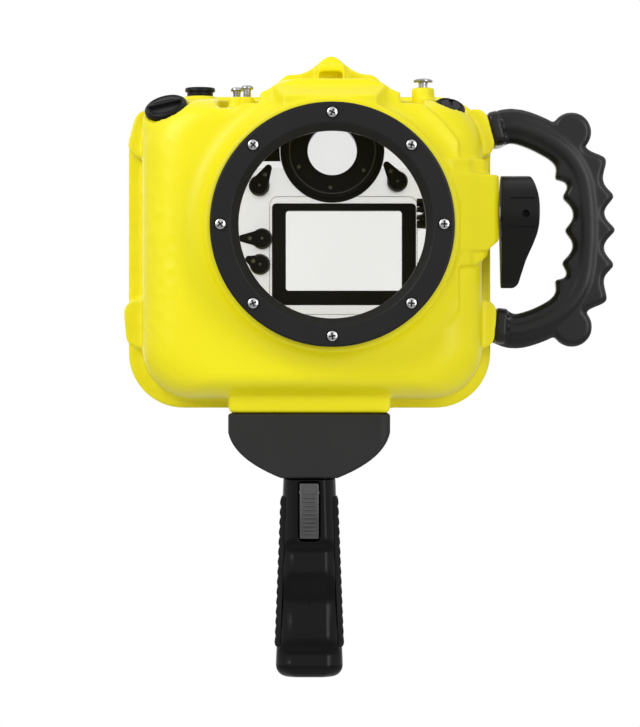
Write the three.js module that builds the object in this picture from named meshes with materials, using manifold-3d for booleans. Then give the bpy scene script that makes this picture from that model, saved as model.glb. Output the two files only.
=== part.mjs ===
// Underwater housing for a camera. A yellow moulded body carries a bolted port ring, a side handle,
// a zoom knob with its crown gear, push buttons, and a pistol grip with a trigger. A clear back cover,
// held by six captive thumb screws, closes the rear and carries the viewfinder and four buttons.
// Millimetres, +Z up, the port faces -Y. The origin is the middle of the pistol grip.

import * as THREE from 'three';
import Module from 'manifold-3d';
import { mergeVertices } from 'three/addons/utils/BufferGeometryUtils.js';

const wasm = await Module();
wasm.setup();

// Fits shared by all pieces
const GAP = 0.3; // clearance between two seated pieces, and round a shaft in its bore
const OVERRUN = 1.5; // how far a cutter runs past the face that it opens
const WELD = 0.01; // edges shorter than this are joined after the cuts

// Rear flange of the moulded body
const FLANGE_WIDTH = 197;
const FLANGE_HEIGHT = 169.4;
const FLANGE_BOTTOM = 89.7; // above the middle of the grip
const FLANGE_CORNER = 30;
const FLANGE_REAR = 38; // behind the middle plane of the grip
const FLANGE_THICKNESS = 12;

// Moulded body in front of the flange
const SHELL_SIDE_STEP = 7.5; // how far the flange stands out at each side
const SHELL_STEP = 4.4; // how far it stands out below the body, and half of that above
const SHELL_CORNER = 27;
const SHELL_DRAFT = 2.2; // how much each side draws in towards the front
const SHELL_DEPTH = 74; // from the flange's rear face to the flat front face
const SIDE_ROUND = 24; // how far the front edge draws in at each side
const SILL_ROUND = 12; // the same at the top and bottom
const FRONT_ROUND = 22; // depth of that rounding

// Camera space inside, whose mouth is closed by the back cover
const MOUTH_SIDE_WALL = 7;
const MOUTH_RISE = 14.3; // above the flange's lower edge
const MOUTH_DROP = 10.1; // below the flange's upper edge
const MOUTH_CORNER = 34;
const FRONT_WALL = 5;

// Prism hump on top, with the lug for the upper thumb screw
const HUMP_WIDTH = 74;
const HUMP_RISE = 11.9; // above the flange's upper edge
const HUMP_DROP = 7; // how much lower the hump is in front of the flange
const HUMP_SHOULDER = 15; // run of each sloping side
const HUMP_SLOPE_BACK = 14; // from the body's front face back to where its slope begins
const HUMP_NOSE = 12; // from the body's front face to the foot of the slope
const HUMP_WALL = 10.6; // from the flange's outline to the camera space
const PEAK_RISE = 10.2;
const PEAK_SPREAD = 10;
const LUG_WIDTH = 13.8;
const LUG_LENGTH = 14;
const LUG_RISE = 10.4; // above the front part of the hump
const LUG_LIP = 3.4; // height left above the pocket
const LUG_WALL = 1.6;

// Port turret and its bolted ring
const PORT_RISE = 11.9; // above the flange's middle height
const TURRET_RADIUS = 67;
const TURRET_HEIGHT = 14;
const TURRET_FILLET = 13;
const TURRET_EDGE = 1.5;
const PORT_RADIUS = 48.9;
const RING_RADIUS = 64.2;
const RING_THICKNESS = 7.7;
const RING_CHAMFER = 1.2;
const RING_BEVEL = 4.2;
const PORT_SCREW_COUNT = 8;
const PORT_SCREW_CIRCLE = 116.5;
const PORT_SCREW_SHANK = 3;
const PORT_SCREW_HEAD = 5.6;
const PORT_SCREW_HEAD_HEIGHT = 1.65;
const PORT_SCREW_REACH = 8; // below the ring
const PORT_SEAL_RADIUS = 52.2;
const PORT_SEAL_SECTION = 2;

// Rear seal
const SEAL_OFFSET = 1.8; // from the mouth's edge
const SEAL_WIDTH = 3;
const SEAL_DEPTH = 2.6;

// Back cover and its thumb screws
const COVER_THICKNESS = 12;
const THUMB_SHANK = 4;
const THUMB_HEAD = 16;
const THUMB_HEAD_HEIGHT = 8;
const THUMB_COLLAR = 9;
const THUMB_COLLAR_HEIGHT = 1.5;
const THUMB_THREAD = 9; // reach into the flange
const THUMB_LOBES = 7;
const THUMB_GROOVE = 2.4;
const THUMB_CORNER_IN = 14.9; // from the flange's edge, both ways
const THUMB_BOTTOM_RISE = 4.8; // above the flange's lower edge
const THUMB_TOP_RISE = 2; // above the hump's top

// Screen window, mask and label on the cover
const SCREEN_WIDTH = 63.5;
const SCREEN_HEIGHT = 43.6;
const SCREEN_CORNER = 2;
const MASK_LEFT = 7.6; // borders round the screen window
const MASK_RIGHT = 7.8;
const MASK_BELOW = 8;
const MASK_ABOVE = 4.5; // up to the viewfinder's flange
const MASK_THICKNESS = 0.9;
const PANEL_THICKNESS = 0.9;
const PANEL_LEFT = 92; // from the screen's middle
const PANEL_RIGHT = 40;
const PANEL_EAR = 18; // extra width of the upper part on the right
const PANEL_UP = 46;
const PANEL_DOWN = 48;
const PANEL_EAR_Z = 12.5; // above the screen's middle
const PANEL_CORNER = 4;

// Viewfinder
const FINDER_ROOM = 1.6; // from its flange to the room under the hump
const FINDER_FLANGE = 57;
const FINDER_FLANGE_THICKNESS = 4;
const FINDER_TUBE = 33;
const FINDER_APERTURE = 27;
const FINDER_WINDOW = 30;
const FINDER_WINDOW_THICKNESS = 3;
const CUP_RADIUS = 20;
const CUP_HEIGHT = 11;
const CUP_WALL = 4.5;

// Soft pad beside the viewfinder, against the camera's back
const PAD_SOFT_LEFT = 49; // from the viewfinder's middle
const PAD_SOFT_BELOW = 5.8;
const PAD_SOFT_ABOVE = 15;
const PAD_SOFT_THICKNESS = 2;

// Four push buttons through the cover, each with a lever inside
const KEY_CAP = 11;
const KEY_CAP_HEIGHT = 4.5;
const KEY_SHAFT = 5;
const KEY_STROKE = 3.5;
const LEVER_HUB = 8.4;
const LEVER_TIP = 3.2;
const LEVER_THICKNESS = 2.6;
const LEVER_BELOW_COVER = 1.6; // clear of the mask and the soft pad
const LEVER_REACH = 10.9; // from the hub's middle to the tip's
// Each key: its place from the screen's middle in screen widths and heights, its lever's reach as a
// share of the longest, and the way that the lever points, in degrees
const KEY_SHARES = [
  { left: 0.73, up: 0.821, reach: 0.98, turn: 61.5 },
  { left: -0.462, up: 0.874, reach: 0.97, turn: 124 },
  { left: 0.706, up: 0.154, reach: 1, turn: 180 },
  { left: 0.724, up: -0.17, reach: 0.61, turn: 156 },
];

// Push buttons on top
const TOP_BUTTON_STEM = 5.2;
const TOP_BUTTON_STROKE = 2.4;
const TOP_BUTTON_CAP_HEIGHT = 2.6;
const TOP_BUTTON_TAIL = 9; // below the boss's top, down into the camera space
const RIGHT_BOSS_RISE = 2.3; // above the flange's upper edge
const RIGHT_BOSS_DIAMETER = 12.2;
const RIGHT_CAP_DIAMETER = 11;
const RIGHT_BUTTON_Y = -4;
const PAIR_BOSS_DROP = 3.3; // below the flange's upper edge
const PAIR_BOSS_WIDTH = 13.6;
const PAIR_BOSS_LENGTH = 27;
const PAIR_CAP_DIAMETER = 6.9;
const PAIR_STEM = 4.4;
const PAIR_STAND = 4.2; // free stem between the boss and the cap
const PAIR_FRONT_Y = -10;
const PAIR_REAR_Y = 3;
const RECESS_WIDTH = 24;
const RECESS_LENGTH = 46;
const RECESS_DROP = 7.7; // below the flange's upper edge
const RIGHT_RECESS_WIDTH = 20;

// Shutter button on the left
const SHUTTER_Y = 4;
const SHUTTER_BOSS_DROP = 1.7; // below the flange's upper edge
const SHUTTER_BOSS_DIAMETER = 17.8;
const SHUTTER_CAP_DIAMETER = 16.4;
const SHUTTER_CAP_HEIGHT = 3.4;
const SHUTTER_STEM = 6;
const SHUTTER_STROKE = 2;

// Tilted plugs at the upper corners
const LEFT_PLUG_DIAMETER = 23;
const RIGHT_PLUG_DIAMETER = 16.5;
const PLUG_HEIGHT = 3.6;
const PLUG_STEM_SHARE = 0.42;
const PLUG_STEM_LENGTH = 9;
const PLUG_SEAT_RIM = 1.2;
const PLUG_COLUMN = 46; // height of the column under each plug
const PLUG_BAR_WIDTH = 3.4;
const PLUG_BAR_HEIGHT = 2;
const PLUG_SLOT_WIDTH = 2.2;
const PLUG_SLOT_DEPTH = 1.6;
const LEFT_PLUG_IN = 15; // from the body's side
const LEFT_PLUG_Y = -14;
const RIGHT_PLUG_IN = 16.5;
const RIGHT_PLUG_Y = -13;
const PLUG_DROP = 10.6; // below the flange's upper edge
const PLUG_LEAN = 32; // degrees forward from upright
const PLUG_SPLAY = 13; // degrees outward

// Zoom knob, its gearbox block, shaft and crown gear
const KNOB_Y = -8;
const KNOB_RISE = 7.7; // above the port's middle
const KNOB_DISC = 20;
const KNOB_TAIL = 33.4; // from the axis to the middle of the tail's round end
const KNOB_TAIL_RADIUS = 6.6;
const KNOB_WIDTH = 19.9;
const KNOB_TAIL_WIDTH = 11;
const KNOB_HUB = 10;
const KNOB_GROOVE = 1.4;
const KNOB_BORE_DEPTH = 11;
const GEARBOX_STAND = 9.7; // beyond the body's side
const GEARBOX_BELOW = 20.7; // below the knob's axis
const GEARBOX_ABOVE = 19.8;
const GEARBOX_LENGTH = 20; // behind the knob's axis
const GEARBOX_PROUD = 2.4; // in front of the body's face
const GEARBOX_TURN = 9; // from the body's side in to where the front face turns back
const GEARBOX_BEVEL = 4.5;
const STEP_RISE = 8; // the step above and below the block
const STEP_IN = 6; // how much less the step stands out
const SHAFT_DIAMETER = 8;
const BUSH_WALL = 2.6;
const BUSH_RIM = 2.4;
const GEAR_RADIUS = 8.2;
const GEAR_IN = 26.6; // from the camera space's wall in to the tips of the teeth
const GEAR_TEETH = 10;
const GEAR_TOOTH_HEIGHT = 3.2;
const GEAR_DISC = 4;

// Side handle, its feet and the bosses that carry them
const HANDLE_Y = 17;
const HANDLE_REACH = 52.5; // from the lower foot's face to the bar's middle line
const HANDLE_TUBE = 16;
const HANDLE_WEB = 9;
const HANDLE_ARM = 18.8;
const LOBE_OUTSIDE = 5.4;
const LOBE_INSIDE = 3.4;
const LOBE_LENGTH = 7.5;
const FOOT_LENGTH = 38;
const FOOT_HEIGHT = 19;
const FOOT_THICKNESS = 6;
const BOSS_HEIGHT = 27;
const BOSS_DEPTH = 26;
const BOSS_ROUND = 5;
const FOOT_BOLT_SPREAD = 27;
const FOOT_BOLT_SHANK = 5;
const FOOT_BOLT_HEAD = 8.4;
const FOOT_BOLT_HEAD_HEIGHT = 2.8;
const FOOT_BOLT_REACH = 10;
const UPPER_FOOT_STAND = 6.6; // beyond the body's side
const UPPER_FOOT_DROP = 19.7; // below the flange's upper edge
const UPPER_FOOT_TILT = 15; // degrees up from level
const LOWER_FOOT_STAND = 9;
const LOWER_FOOT_RISE = 44.7; // above the flange's lower edge
const LOWER_FOOT_TILT = -5;
const HANDLE_HEIGHT_SHARE = 0.99; // of half the height between the feet
// Middle line from the lower foot to the upper one, in shares of the reach and of the half height
const HANDLE_ROUTE_SHARES = [
  [0.04, -1.01], [0.23, -1.06], [0.45, -1.0], [0.65, -0.93], [0.84, -0.83],
  [0.95, -0.62], [0.99, -0.3], [1, 0], [0.99, 0.3], [0.95, 0.62],
  [0.84, 0.83], [0.65, 0.94], [0.42, 1.03], [0.2, 1.09], [0, 1.02],
];
// Lobes for the fingers, in shares of the middle line's length
const OUTER_LOBE_SHARES = [0.275, 0.395, 0.464, 0.532, 0.6, 0.718];
const INNER_LOBE_SHARES = [0.345, 0.425, 0.5, 0.575, 0.65];

// Pad and bracket under the body
const PAD_WIDTH = 86;
const PAD_DROP = 2.2; // below the flange's lower edge
const PAD_LENGTH = 60;
const PAD_ROUND = 3;
const BRACKET_FRONT = -24;
const BRACKET_LENGTH = 48;
const BRACKET_HEIGHT = 34.2;
const BRACKET_SIDE = 10; // height of the straight sides
const BRACKET_FOOT = 30;
const BRACKET_BEVEL = 3;
const BRACKET_BOLT_X = 31;
const BRACKET_BOLT_Y = 4;
const BRACKET_BOLT_SHANK = 5;
const BRACKET_BOLT_HEAD = 8.4;
const BRACKET_BOLT_HEAD_HEIGHT = 3;
const BRACKET_BOLT_FLOOR = 10; // bracket left above each bolt's head
const BRACKET_BOLT_REACH = 5;

// Pistol grip
const GRIP_BUTT = -53.5; // lowest point
const GRIP_TOP_WIDTH = 28;
const GRIP_BUTT_WIDTH = 36.4;
const GRIP_DEPTH = 42;
const GRIP_CORNER = 10;
const GRIP_BUTT_ROUND = 7;
const RIB_COUNT = 15;
const RIB_PITCH = 5.3;
const RIB_HEIGHT = 1;
const SIDE_PANEL_THICKNESS = 2;
const SIDE_PANEL_DEPTH = 30;
const SIDE_PANEL_DROP = 10.1; // below the grip's top
const GRIP_BOLT_Y = 12;
const GRIP_BOLT_SHANK = 6;
const GRIP_BOLT_HEAD = 10;
const GRIP_BOLT_HEAD_HEIGHT = 5;
const GRIP_BOLT_SINK = 8; // how deep the head's seat lies in the butt
const GRIP_BOLT_REACH = 12; // into the bracket

// Trigger, its pin and its switch
const TRIGGER_WIDTH = 10;
const TRIGGER_DROP = 2.5; // below the grip's top
const TRIGGER_HEIGHT = 29.3;
const TRIGGER_PROUD = 4.6; // in front of the grip
const TRIGGER_BODY = 15;
const TRIGGER_HEEL = 2.5; // its rear upper corner is this much lower, to clear the slot as it turns
const TRIGGER_RIBS = 9;
const TRIGGER_RIB_HEIGHT = 0.9;
const TRIGGER_PIN_DIAMETER = 3;
const TRIGGER_PIN_LENGTH = 17;
const TRIGGER_PIN_DROP = 5; // below the trigger's top
const TRIGGER_PIN_BACK = 7; // behind the grip's front
const TRIGGER_SLOT_DEPTH = 13;
const FACE_PANEL_WIDTH = 24.8;
const FACE_PANEL_DROP = 1.9; // below the trigger's lower end
const FACE_PANEL_DEPTH = 1.2;
const SWITCH_WIDTH = 6;
const SWITCH_HEIGHT = 10;
const SWITCH_DEPTH = 6;
const SWITCH_GAP = 3.4;

// Tray that the camera is screwed to
const TRAY_ROOM = 2; // behind the rounded front of the camera space
const TRAY_SIDE_ROOM = 15; // from the end of the floor's flat part
const TRAY_LENGTH = 32;
const TRAY_THICKNESS = 3;
const TRAY_CORNER = 6;
const TRAY_SCREW_SHANK = 4;
const TRAY_SCREW_HEAD = 7;
const TRAY_SCREW_HEAD_HEIGHT = 2.4;
const TRAY_SCREW_REACH = 5;

// Facets
const ROUND_LARGE = 30;
const ROUND_MEDIUM = 14;
const ROUND_SMALL = 10;
const ROUND_SCREW = 8;
const ROUND_HOLE = 6;
const CORNER_STEPS = 4;

// Places across the body, in shares of its half width
const ACROSS_SHARES = {
  port: 0.133, finder: 0.1363, screen: 0.206, hump: 0.1209, peak: 0.1286, rightRecess: 0.5604,
  rightButton: 0.6692, pairFront: -0.3648, pairRear: -0.4286, shutter: -0.6462,
};

// Places that follow from the sizes above
const HALF = 0.5;
const FLANGE_TOP = FLANGE_BOTTOM + FLANGE_HEIGHT;
const FLANGE_FRONT = FLANGE_REAR - FLANGE_THICKNESS;
const BODY_FRONT = FLANGE_REAR - SHELL_DEPTH;
const SHELL_WIDTH = FLANGE_WIDTH - 2 * SHELL_SIDE_STEP;
const SHELL_SIDE = SHELL_WIDTH * HALF;
const MOUTH_WIDTH = SHELL_WIDTH - 2 * MOUTH_SIDE_WALL;
const MOUTH_BOTTOM = FLANGE_BOTTOM + MOUTH_RISE;
const MOUTH_TOP = FLANGE_TOP - MOUTH_DROP;
const HUMP_X = SHELL_SIDE * ACROSS_SHARES.hump;
const HUMP_TOP = FLANGE_TOP + HUMP_RISE;
const PEAK_X = SHELL_SIDE * ACROSS_SHARES.peak;
const PORT_X = SHELL_SIDE * ACROSS_SHARES.port;
const PORT_Z = FLANGE_BOTTOM + FLANGE_HEIGHT * HALF + PORT_RISE;
const FINDER_X = SHELL_SIDE * ACROSS_SHARES.finder;
const FINDER_Z = HUMP_TOP - HUMP_WALL - FINDER_ROOM - FINDER_FLANGE * HALF;
const SCREEN_X = SHELL_SIDE * ACROSS_SHARES.screen;
const SCREEN_Z = FINDER_Z - FINDER_FLANGE * HALF - MASK_ABOVE - SCREEN_HEIGHT * HALF;
const KEYS = KEY_SHARES.map(({ left, up, reach, turn }) => (
  { left: left * SCREEN_WIDTH, up: up * SCREEN_HEIGHT, reach: reach * LEVER_REACH, turn }
));
const RIGHT_BOSS_TOP = FLANGE_TOP + RIGHT_BOSS_RISE;
const RIGHT_BUTTON_X = SHELL_SIDE * ACROSS_SHARES.rightButton;
const RIGHT_RECESS_X = SHELL_SIDE * ACROSS_SHARES.rightRecess;
const PAIR_BOSS_TOP = FLANGE_TOP - PAIR_BOSS_DROP;
const PAIR_FRONT_X = SHELL_SIDE * ACROSS_SHARES.pairFront;
const PAIR_REAR_X = SHELL_SIDE * ACROSS_SHARES.pairRear;
const RECESS_FLOOR = FLANGE_TOP - RECESS_DROP;
const SHUTTER_X = SHELL_SIDE * ACROSS_SHARES.shutter;
const SHUTTER_BOSS_TOP = FLANGE_TOP - SHUTTER_BOSS_DROP;
const LEFT_PLUG_AT = [LEFT_PLUG_IN - SHELL_SIDE, LEFT_PLUG_Y, FLANGE_TOP - PLUG_DROP];
const RIGHT_PLUG_AT = [SHELL_SIDE - RIGHT_PLUG_IN, RIGHT_PLUG_Y, FLANGE_TOP - PLUG_DROP];
const KNOB_Z = PORT_Z + KNOB_RISE;
const GEARBOX_RIGHT = SHELL_SIDE + GEARBOX_STAND;
const GEARBOX_FACE = SHELL_SIDE - GEARBOX_TURN;
const GEARBOX_BOTTOM = KNOB_Z - GEARBOX_BELOW;
const GEARBOX_TOP = KNOB_Z + GEARBOX_ABOVE;
const GEAR_LEFT = MOUTH_WIDTH * HALF - GEAR_IN;
const UPPER_FOOT = {
  out: SHELL_SIDE + UPPER_FOOT_STAND, up: FLANGE_TOP - UPPER_FOOT_DROP, tilt: UPPER_FOOT_TILT,
};
const LOWER_FOOT = {
  out: SHELL_SIDE + LOWER_FOOT_STAND, up: FLANGE_BOTTOM + LOWER_FOOT_RISE, tilt: LOWER_FOOT_TILT,
};
const HANDLE_Z = (UPPER_FOOT.up + LOWER_FOOT.up) * HALF;
const HANDLE_HALF_HEIGHT = (UPPER_FOOT.up - LOWER_FOOT.up) * HALF * HANDLE_HEIGHT_SHARE;
const PAD_BOTTOM = FLANGE_BOTTOM - PAD_DROP;
const BRACKET_BOTTOM = PAD_BOTTOM - GAP - BRACKET_HEIGHT;
const TRAY_WIDTH = MOUTH_WIDTH - 2 * (MOUTH_CORNER + TRAY_SIDE_ROOM);
const TRAY_Y = BODY_FRONT + FRONT_WALL + FRONT_ROUND + TRAY_ROOM + TRAY_LENGTH * HALF;
const TURRET_FRONT = BODY_FRONT - TURRET_HEIGHT;
const RING_REAR = TURRET_FRONT - GAP;
const RING_FRONT = RING_REAR - RING_THICKNESS;
const COVER_FRONT = FLANGE_REAR + GAP;
const COVER_REAR = COVER_FRONT + COVER_THICKNESS;
const PANEL_REAR = COVER_REAR + GAP + PANEL_THICKNESS;
const BUSH_BORE = SHAFT_DIAMETER * HALF + GAP;
const BUSH_RADIUS = BUSH_BORE + BUSH_WALL;
const KNOB_LEFT = GEARBOX_RIGHT + GAP + BUSH_RIM * HALF;
const GRIP_TOP = BRACKET_BOTTOM - GAP;
const SIDE_PANEL_TOP = GRIP_TOP - SIDE_PANEL_DROP;
const TRIGGER_TOP = GRIP_TOP - TRIGGER_DROP;
const TRIGGER_BOTTOM = TRIGGER_TOP - TRIGGER_HEIGHT;
const FACE_PANEL_BOTTOM = TRIGGER_BOTTOM - FACE_PANEL_DROP;
const GRIP_FRONT = -GRIP_DEPTH * HALF;
const TRIGGER_PIN_Y = GRIP_FRONT + TRIGGER_PIN_BACK;
const TRIGGER_PIN_Z = TRIGGER_TOP - TRIGGER_PIN_DROP;
const SWITCH_FRONT = GRIP_FRONT + TRIGGER_SLOT_DEPTH;
const SWITCH_BOTTOM = TRIGGER_BOTTOM + SWITCH_GAP;

// Directions
const RIGHT = new THREE.Vector3(1, 0, 0);
const REARWARD = new THREE.Vector3(0, 1, 0);
const FORWARD = new THREE.Vector3(0, -1, 0);
const UP = new THREE.Vector3(0, 0, 1);
const DOWN = new THREE.Vector3(0, 0, -1);
const CENTRE = new THREE.Vector3(0, 0, 0);

// Solids and meshes

// A closed geometry becomes a solid whose faces point out.
function solidOf(geometry) {
  const bare = geometry.clone();
  bare.deleteAttribute('normal');
  bare.deleteAttribute('uv');
  const merged = mergeVertices(bare);
  const position = merged.attributes.position;
  const index = merged.index.array;
  const corners = [0, 1, 2].map(() => new THREE.Vector3());
  const kept = [];
  let volume = 0;
  for (let i = 0; i < index.length; i += 3) {
    const [a, b, c] = [index[i], index[i + 1], index[i + 2]];
    if (a === b || b === c || c === a) continue;
    kept.push([a, b, c]);
    corners.forEach((corner, k) => corner.fromBufferAttribute(position, index[i + k]));
    volume += corners[0].dot(corners[1].clone().cross(corners[2]));
  }
  const facing = volume > 0 ? kept : kept.map(([a, b, c]) => [a, c, b]);
  return new wasm.Manifold(new wasm.Mesh({
    numProp: 3,
    vertProperties: new Float32Array(position.array),
    triVerts: new Uint32Array(facing.flat()),
  }));
}

function geometryOf(solid) {
  const mesh = solid.simplify(WELD).getMesh();
  const geometry = new THREE.BufferGeometry();
  geometry.setAttribute('position', new THREE.BufferAttribute(mesh.vertProperties, mesh.numProp));
  geometry.setIndex(new THREE.BufferAttribute(mesh.triVerts, 1));
  geometry.computeVertexNormals();
  return geometry;
}

const fuse = (...solids) => solids.flat().reduce((sum, solid) => sum.add(solid));
const largest = (solid) => solid.decompose().reduce((a, b) => (a.volume() > b.volume() ? a : b));
const carve = (solid, ...cutters) => cutters.flat().reduce((rest, cutter) => rest.subtract(cutter), solid);

// Profiles: pairs of radius and height along a direction, from a foot point

function aim(geometry, direction, foot) {
  geometry.applyQuaternion(new THREE.Quaternion().setFromUnitVectors(REARWARD, direction));
  geometry.translate(foot.x, foot.y, foot.z);
  return geometry;
}

function turned(pairs, sides, direction = REARWARD, foot = CENTRE) {
  const profile = pairs.map(([radius, height]) => new THREE.Vector2(radius, height));
  const first = profile[0];
  const last = profile[profile.length - 1];
  if (first.x > 0) profile.unshift(new THREE.Vector2(0, first.y));
  if (last.x > 0) profile.push(new THREE.Vector2(0, last.y));
  return solidOf(aim(new THREE.LatheGeometry(profile, sides), direction, foot));
}

function turnedRing(pairs, sides, direction = REARWARD, foot = CENTRE) {
  const profile = [...pairs, pairs[0]].map(([radius, height]) => new THREE.Vector2(radius, height));
  return solidOf(aim(new THREE.LatheGeometry(profile, sides), direction, foot));
}

function rod(radius, from, to, sides, direction = REARWARD, foot = CENTRE) {
  return turned([[radius, from], [radius, to]], sides, direction, foot);
}

// Cutter for a small hole: its flats stand clear of the shank by the gap
function drill(shank, from, to, direction = REARWARD, foot = CENTRE) {
  const radius = (shank * HALF + GAP) / Math.cos(Math.PI / ROUND_HOLE);
  return rod(radius, from, to, ROUND_HOLE, direction, foot);
}

// Outlines and the plates that they make

function roundedOutline(left, right, bottom, top, radius) {
  const shape = new THREE.Shape();
  const quarter = Math.PI / 2;
  shape.absarc(right - radius, bottom + radius, radius, -quarter, 0);
  shape.absarc(right - radius, top - radius, radius, 0, quarter);
  shape.absarc(left + radius, top - radius, radius, quarter, 2 * quarter);
  shape.absarc(left + radius, bottom + radius, radius, 2 * quarter, 3 * quarter);
  return shape;
}

const outlineOf = (points) => new THREE.Shape(points.map(([x, y]) => new THREE.Vector2(x, y)));

function plate(shape, depth, steps, bevel = 0, bevelSteps = 1) {
  return new THREE.ExtrudeGeometry(shape, {
    depth: depth - 2 * bevel,
    curveSegments: steps,
    steps: 1,
    bevelEnabled: bevel > 0,
    bevelThickness: bevel,
    bevelSize: bevel,
    bevelOffset: -bevel,
    bevelSegments: bevelSteps,
  }).translate(0, 0, bevel);
}

// Outline across and up, with its thickness along Y
function plateAlongY(shape, front, rear, steps = CORNER_STEPS, bevel = 0, bevelSteps = 1) {
  const geometry = plate(shape, rear - front, steps, bevel, bevelSteps);
  return solidOf(geometry.rotateX(Math.PI / 2).translate(0, rear, 0));
}

// Outline in Y and Z, with its thickness along X
function plateAlongX(shape, left, right, steps = CORNER_STEPS, bevel = 0) {
  const geometry = plate(shape, right - left, steps, bevel);
  geometry.applyMatrix4(new THREE.Matrix4().makeBasis(REARWARD, UP, RIGHT));
  return solidOf(geometry.translate(left, 0, 0));
}

// Outline in X and Y, with its thickness along Z
function plateAlongZ(shape, bottom, top, steps = CORNER_STEPS, bevel = 0) {
  return solidOf(plate(shape, top - bottom, steps, bevel).translate(0, 0, bottom));
}

// A skin over rings that have the same number of points, closed by a fan at each end
function loft(rings) {
  const count = rings[0].length;
  const middles = [rings[0], rings[rings.length - 1]].map((ring) => (
    ring.reduce((sum, point) => sum.add(point), new THREE.Vector3()).divideScalar(count)
  ));
  const points = [...rings.flat(), ...middles];
  const lastStart = (rings.length - 1) * count;
  const index = [];
  for (let k = 0; k < count; k += 1) {
    const next = (k + 1) % count;
    for (let ring = 0; ring < rings.length - 1; ring += 1) {
      const low = ring * count;
      const high = low + count;
      index.push(low + k, low + next, high + next, low + k, high + next, high + k);
    }
    index.push(points.length - 2, next, k);
    index.push(points.length - 1, lastStart + k, lastStart + next);
  }
  const geometry = new THREE.BufferGeometry().setFromPoints(points);
  geometry.setIndex(index);
  return solidOf(geometry);
}

// Points round a rounded rectangle, in whole corner steps
function roundedRing(left, right, bottom, top, radius, toPoint) {
  const corners = [[right, bottom, 3], [right, top, 0], [left, top, 1], [left, bottom, 2]];
  return corners.flatMap(([x, z, quarter]) => (
    Array.from({ length: CORNER_STEPS + 1 }, (_, step) => {
      const angle = (quarter + step / CORNER_STEPS) * Math.PI * HALF;
      const inX = x === right ? x - radius : x + radius;
      const inZ = z === top ? z - radius : z + radius;
      return toPoint(inX + radius * Math.cos(angle), inZ + radius * Math.sin(angle));
    })
  ));
}

// Finishes
const finish = (color, roughness, metalness = 0) => (
  new THREE.MeshStandardMaterial({ color, roughness, metalness })
);
const yellow = finish(0xf0dc14, 0.42);
const blackPlastic = finish(0x242424, 0.4);
const greyBlack = finish(0x333333, 0.6);
const rubber = finish(0x1c1c1c, 0.85);
const anodised = finish(0x2e2e2e, 0.35, 0.6);
const steel = finish(0xc8c8c8, 0.22, 1);
const triggerGrey = finish(0x6a6a6a, 0.5);
const labelGrey = finish(0xe6e6e6, 0.6);
const clear = new THREE.MeshStandardMaterial({
  color: 0xf4f8fa, roughness: 0.08, metalness: 0, transparent: true, opacity: 0.3,
});

const housing = new THREE.Group();

function piece(name, solid, material, parent = housing) {
  const mesh = new THREE.Mesh(geometryOf(solid), material);
  mesh.name = name;
  parent.add(mesh);
  return mesh;
}

// Moulded body

// Height of the hump's outline at a place across it, drawn in by an inset
function humpHeight(x, base, top, halfWidth, withPeak) {
  const fromEdge = halfWidth - Math.abs(x - HUMP_X);
  const rise = Math.min(Math.max(fromEdge / HUMP_SHOULDER, 0), 1);
  const swell = (1 - Math.cos(Math.PI * rise)) / 2;
  const peak = withPeak ? PEAK_RISE * Math.exp(-(((x - PEAK_X) / PEAK_SPREAD) ** 2)) : 0;
  return base + (top - base) * swell + peak;
}

function humpOutline(inset, base, withPeak, drop = 0) {
  const halfWidth = HUMP_WIDTH * HALF - inset;
  const steps = withPeak ? 16 : 8;
  const crown = Array.from({ length: steps + 1 }, (_, step) => {
    const x = HUMP_X + halfWidth * (1 - (2 * step) / steps);
    return [x, humpHeight(x, base, HUMP_TOP - inset - drop, halfWidth, withPeak)];
  });
  const root = base - MOUTH_CORNER;
  return outlineOf([[HUMP_X - halfWidth, root], [HUMP_X + halfWidth, root], ...crown]);
}

// Plate with the flange's outline: the rounded rectangle and the hump with its lug
function flangePlate(front, rear) {
  const side = FLANGE_WIDTH * HALF;
  const rectangle = roundedOutline(-side, side, FLANGE_BOTTOM, FLANGE_TOP, FLANGE_CORNER);
  return fuse(
    plateAlongY(rectangle, front, rear, CORNER_STEPS),
    plateAlongY(humpOutline(0, FLANGE_TOP, true), front, rear),
  );
}

// Plate with the outline of the mouth, let out by an offset
function mouthPlate(offset, front, rear) {
  const side = MOUTH_WIDTH * HALF + offset;
  const top = MOUTH_TOP + offset;
  const rectangle = roundedOutline(-side, side, MOUTH_BOTTOM - offset, top, MOUTH_CORNER + offset);
  return fuse(
    plateAlongY(rectangle, front, rear),
    plateAlongY(humpOutline(HUMP_WALL - offset, top, false), front, rear),
  );
}

// Body from the flange to the front face, drawn in and rounded over at the front
function shellForm() {
  const side = SHELL_WIDTH * HALF;
  const ring = (y, share) => {
    const draft = (SHELL_DRAFT * (FLANGE_REAR - y)) / SHELL_DEPTH;
    const out = side - draft - SIDE_ROUND * share;
    const bottom = FLANGE_BOTTOM + SHELL_STEP + draft + SILL_ROUND * share;
    const top = FLANGE_TOP - SHELL_STEP * HALF - draft - SILL_ROUND * share;
    const radius = SHELL_CORNER - SILL_ROUND * HALF * share;
    return roundedRing(-out, out, bottom, top, radius, (x, z) => new THREE.Vector3(x, y, z));
  };
  const roundSteps = 5;
  const rings = [ring(FLANGE_REAR - FLANGE_THICKNESS * HALF, 0), ring(BODY_FRONT + FRONT_ROUND, 0)];
  for (let step = 1; step <= roundSteps; step += 1) {
    const angle = (step / roundSteps) * Math.PI * HALF;
    rings.push(ring(BODY_FRONT + FRONT_ROUND * (1 - Math.sin(angle)), 1 - Math.cos(angle)));
  }
  return loft(rings);
}

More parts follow.
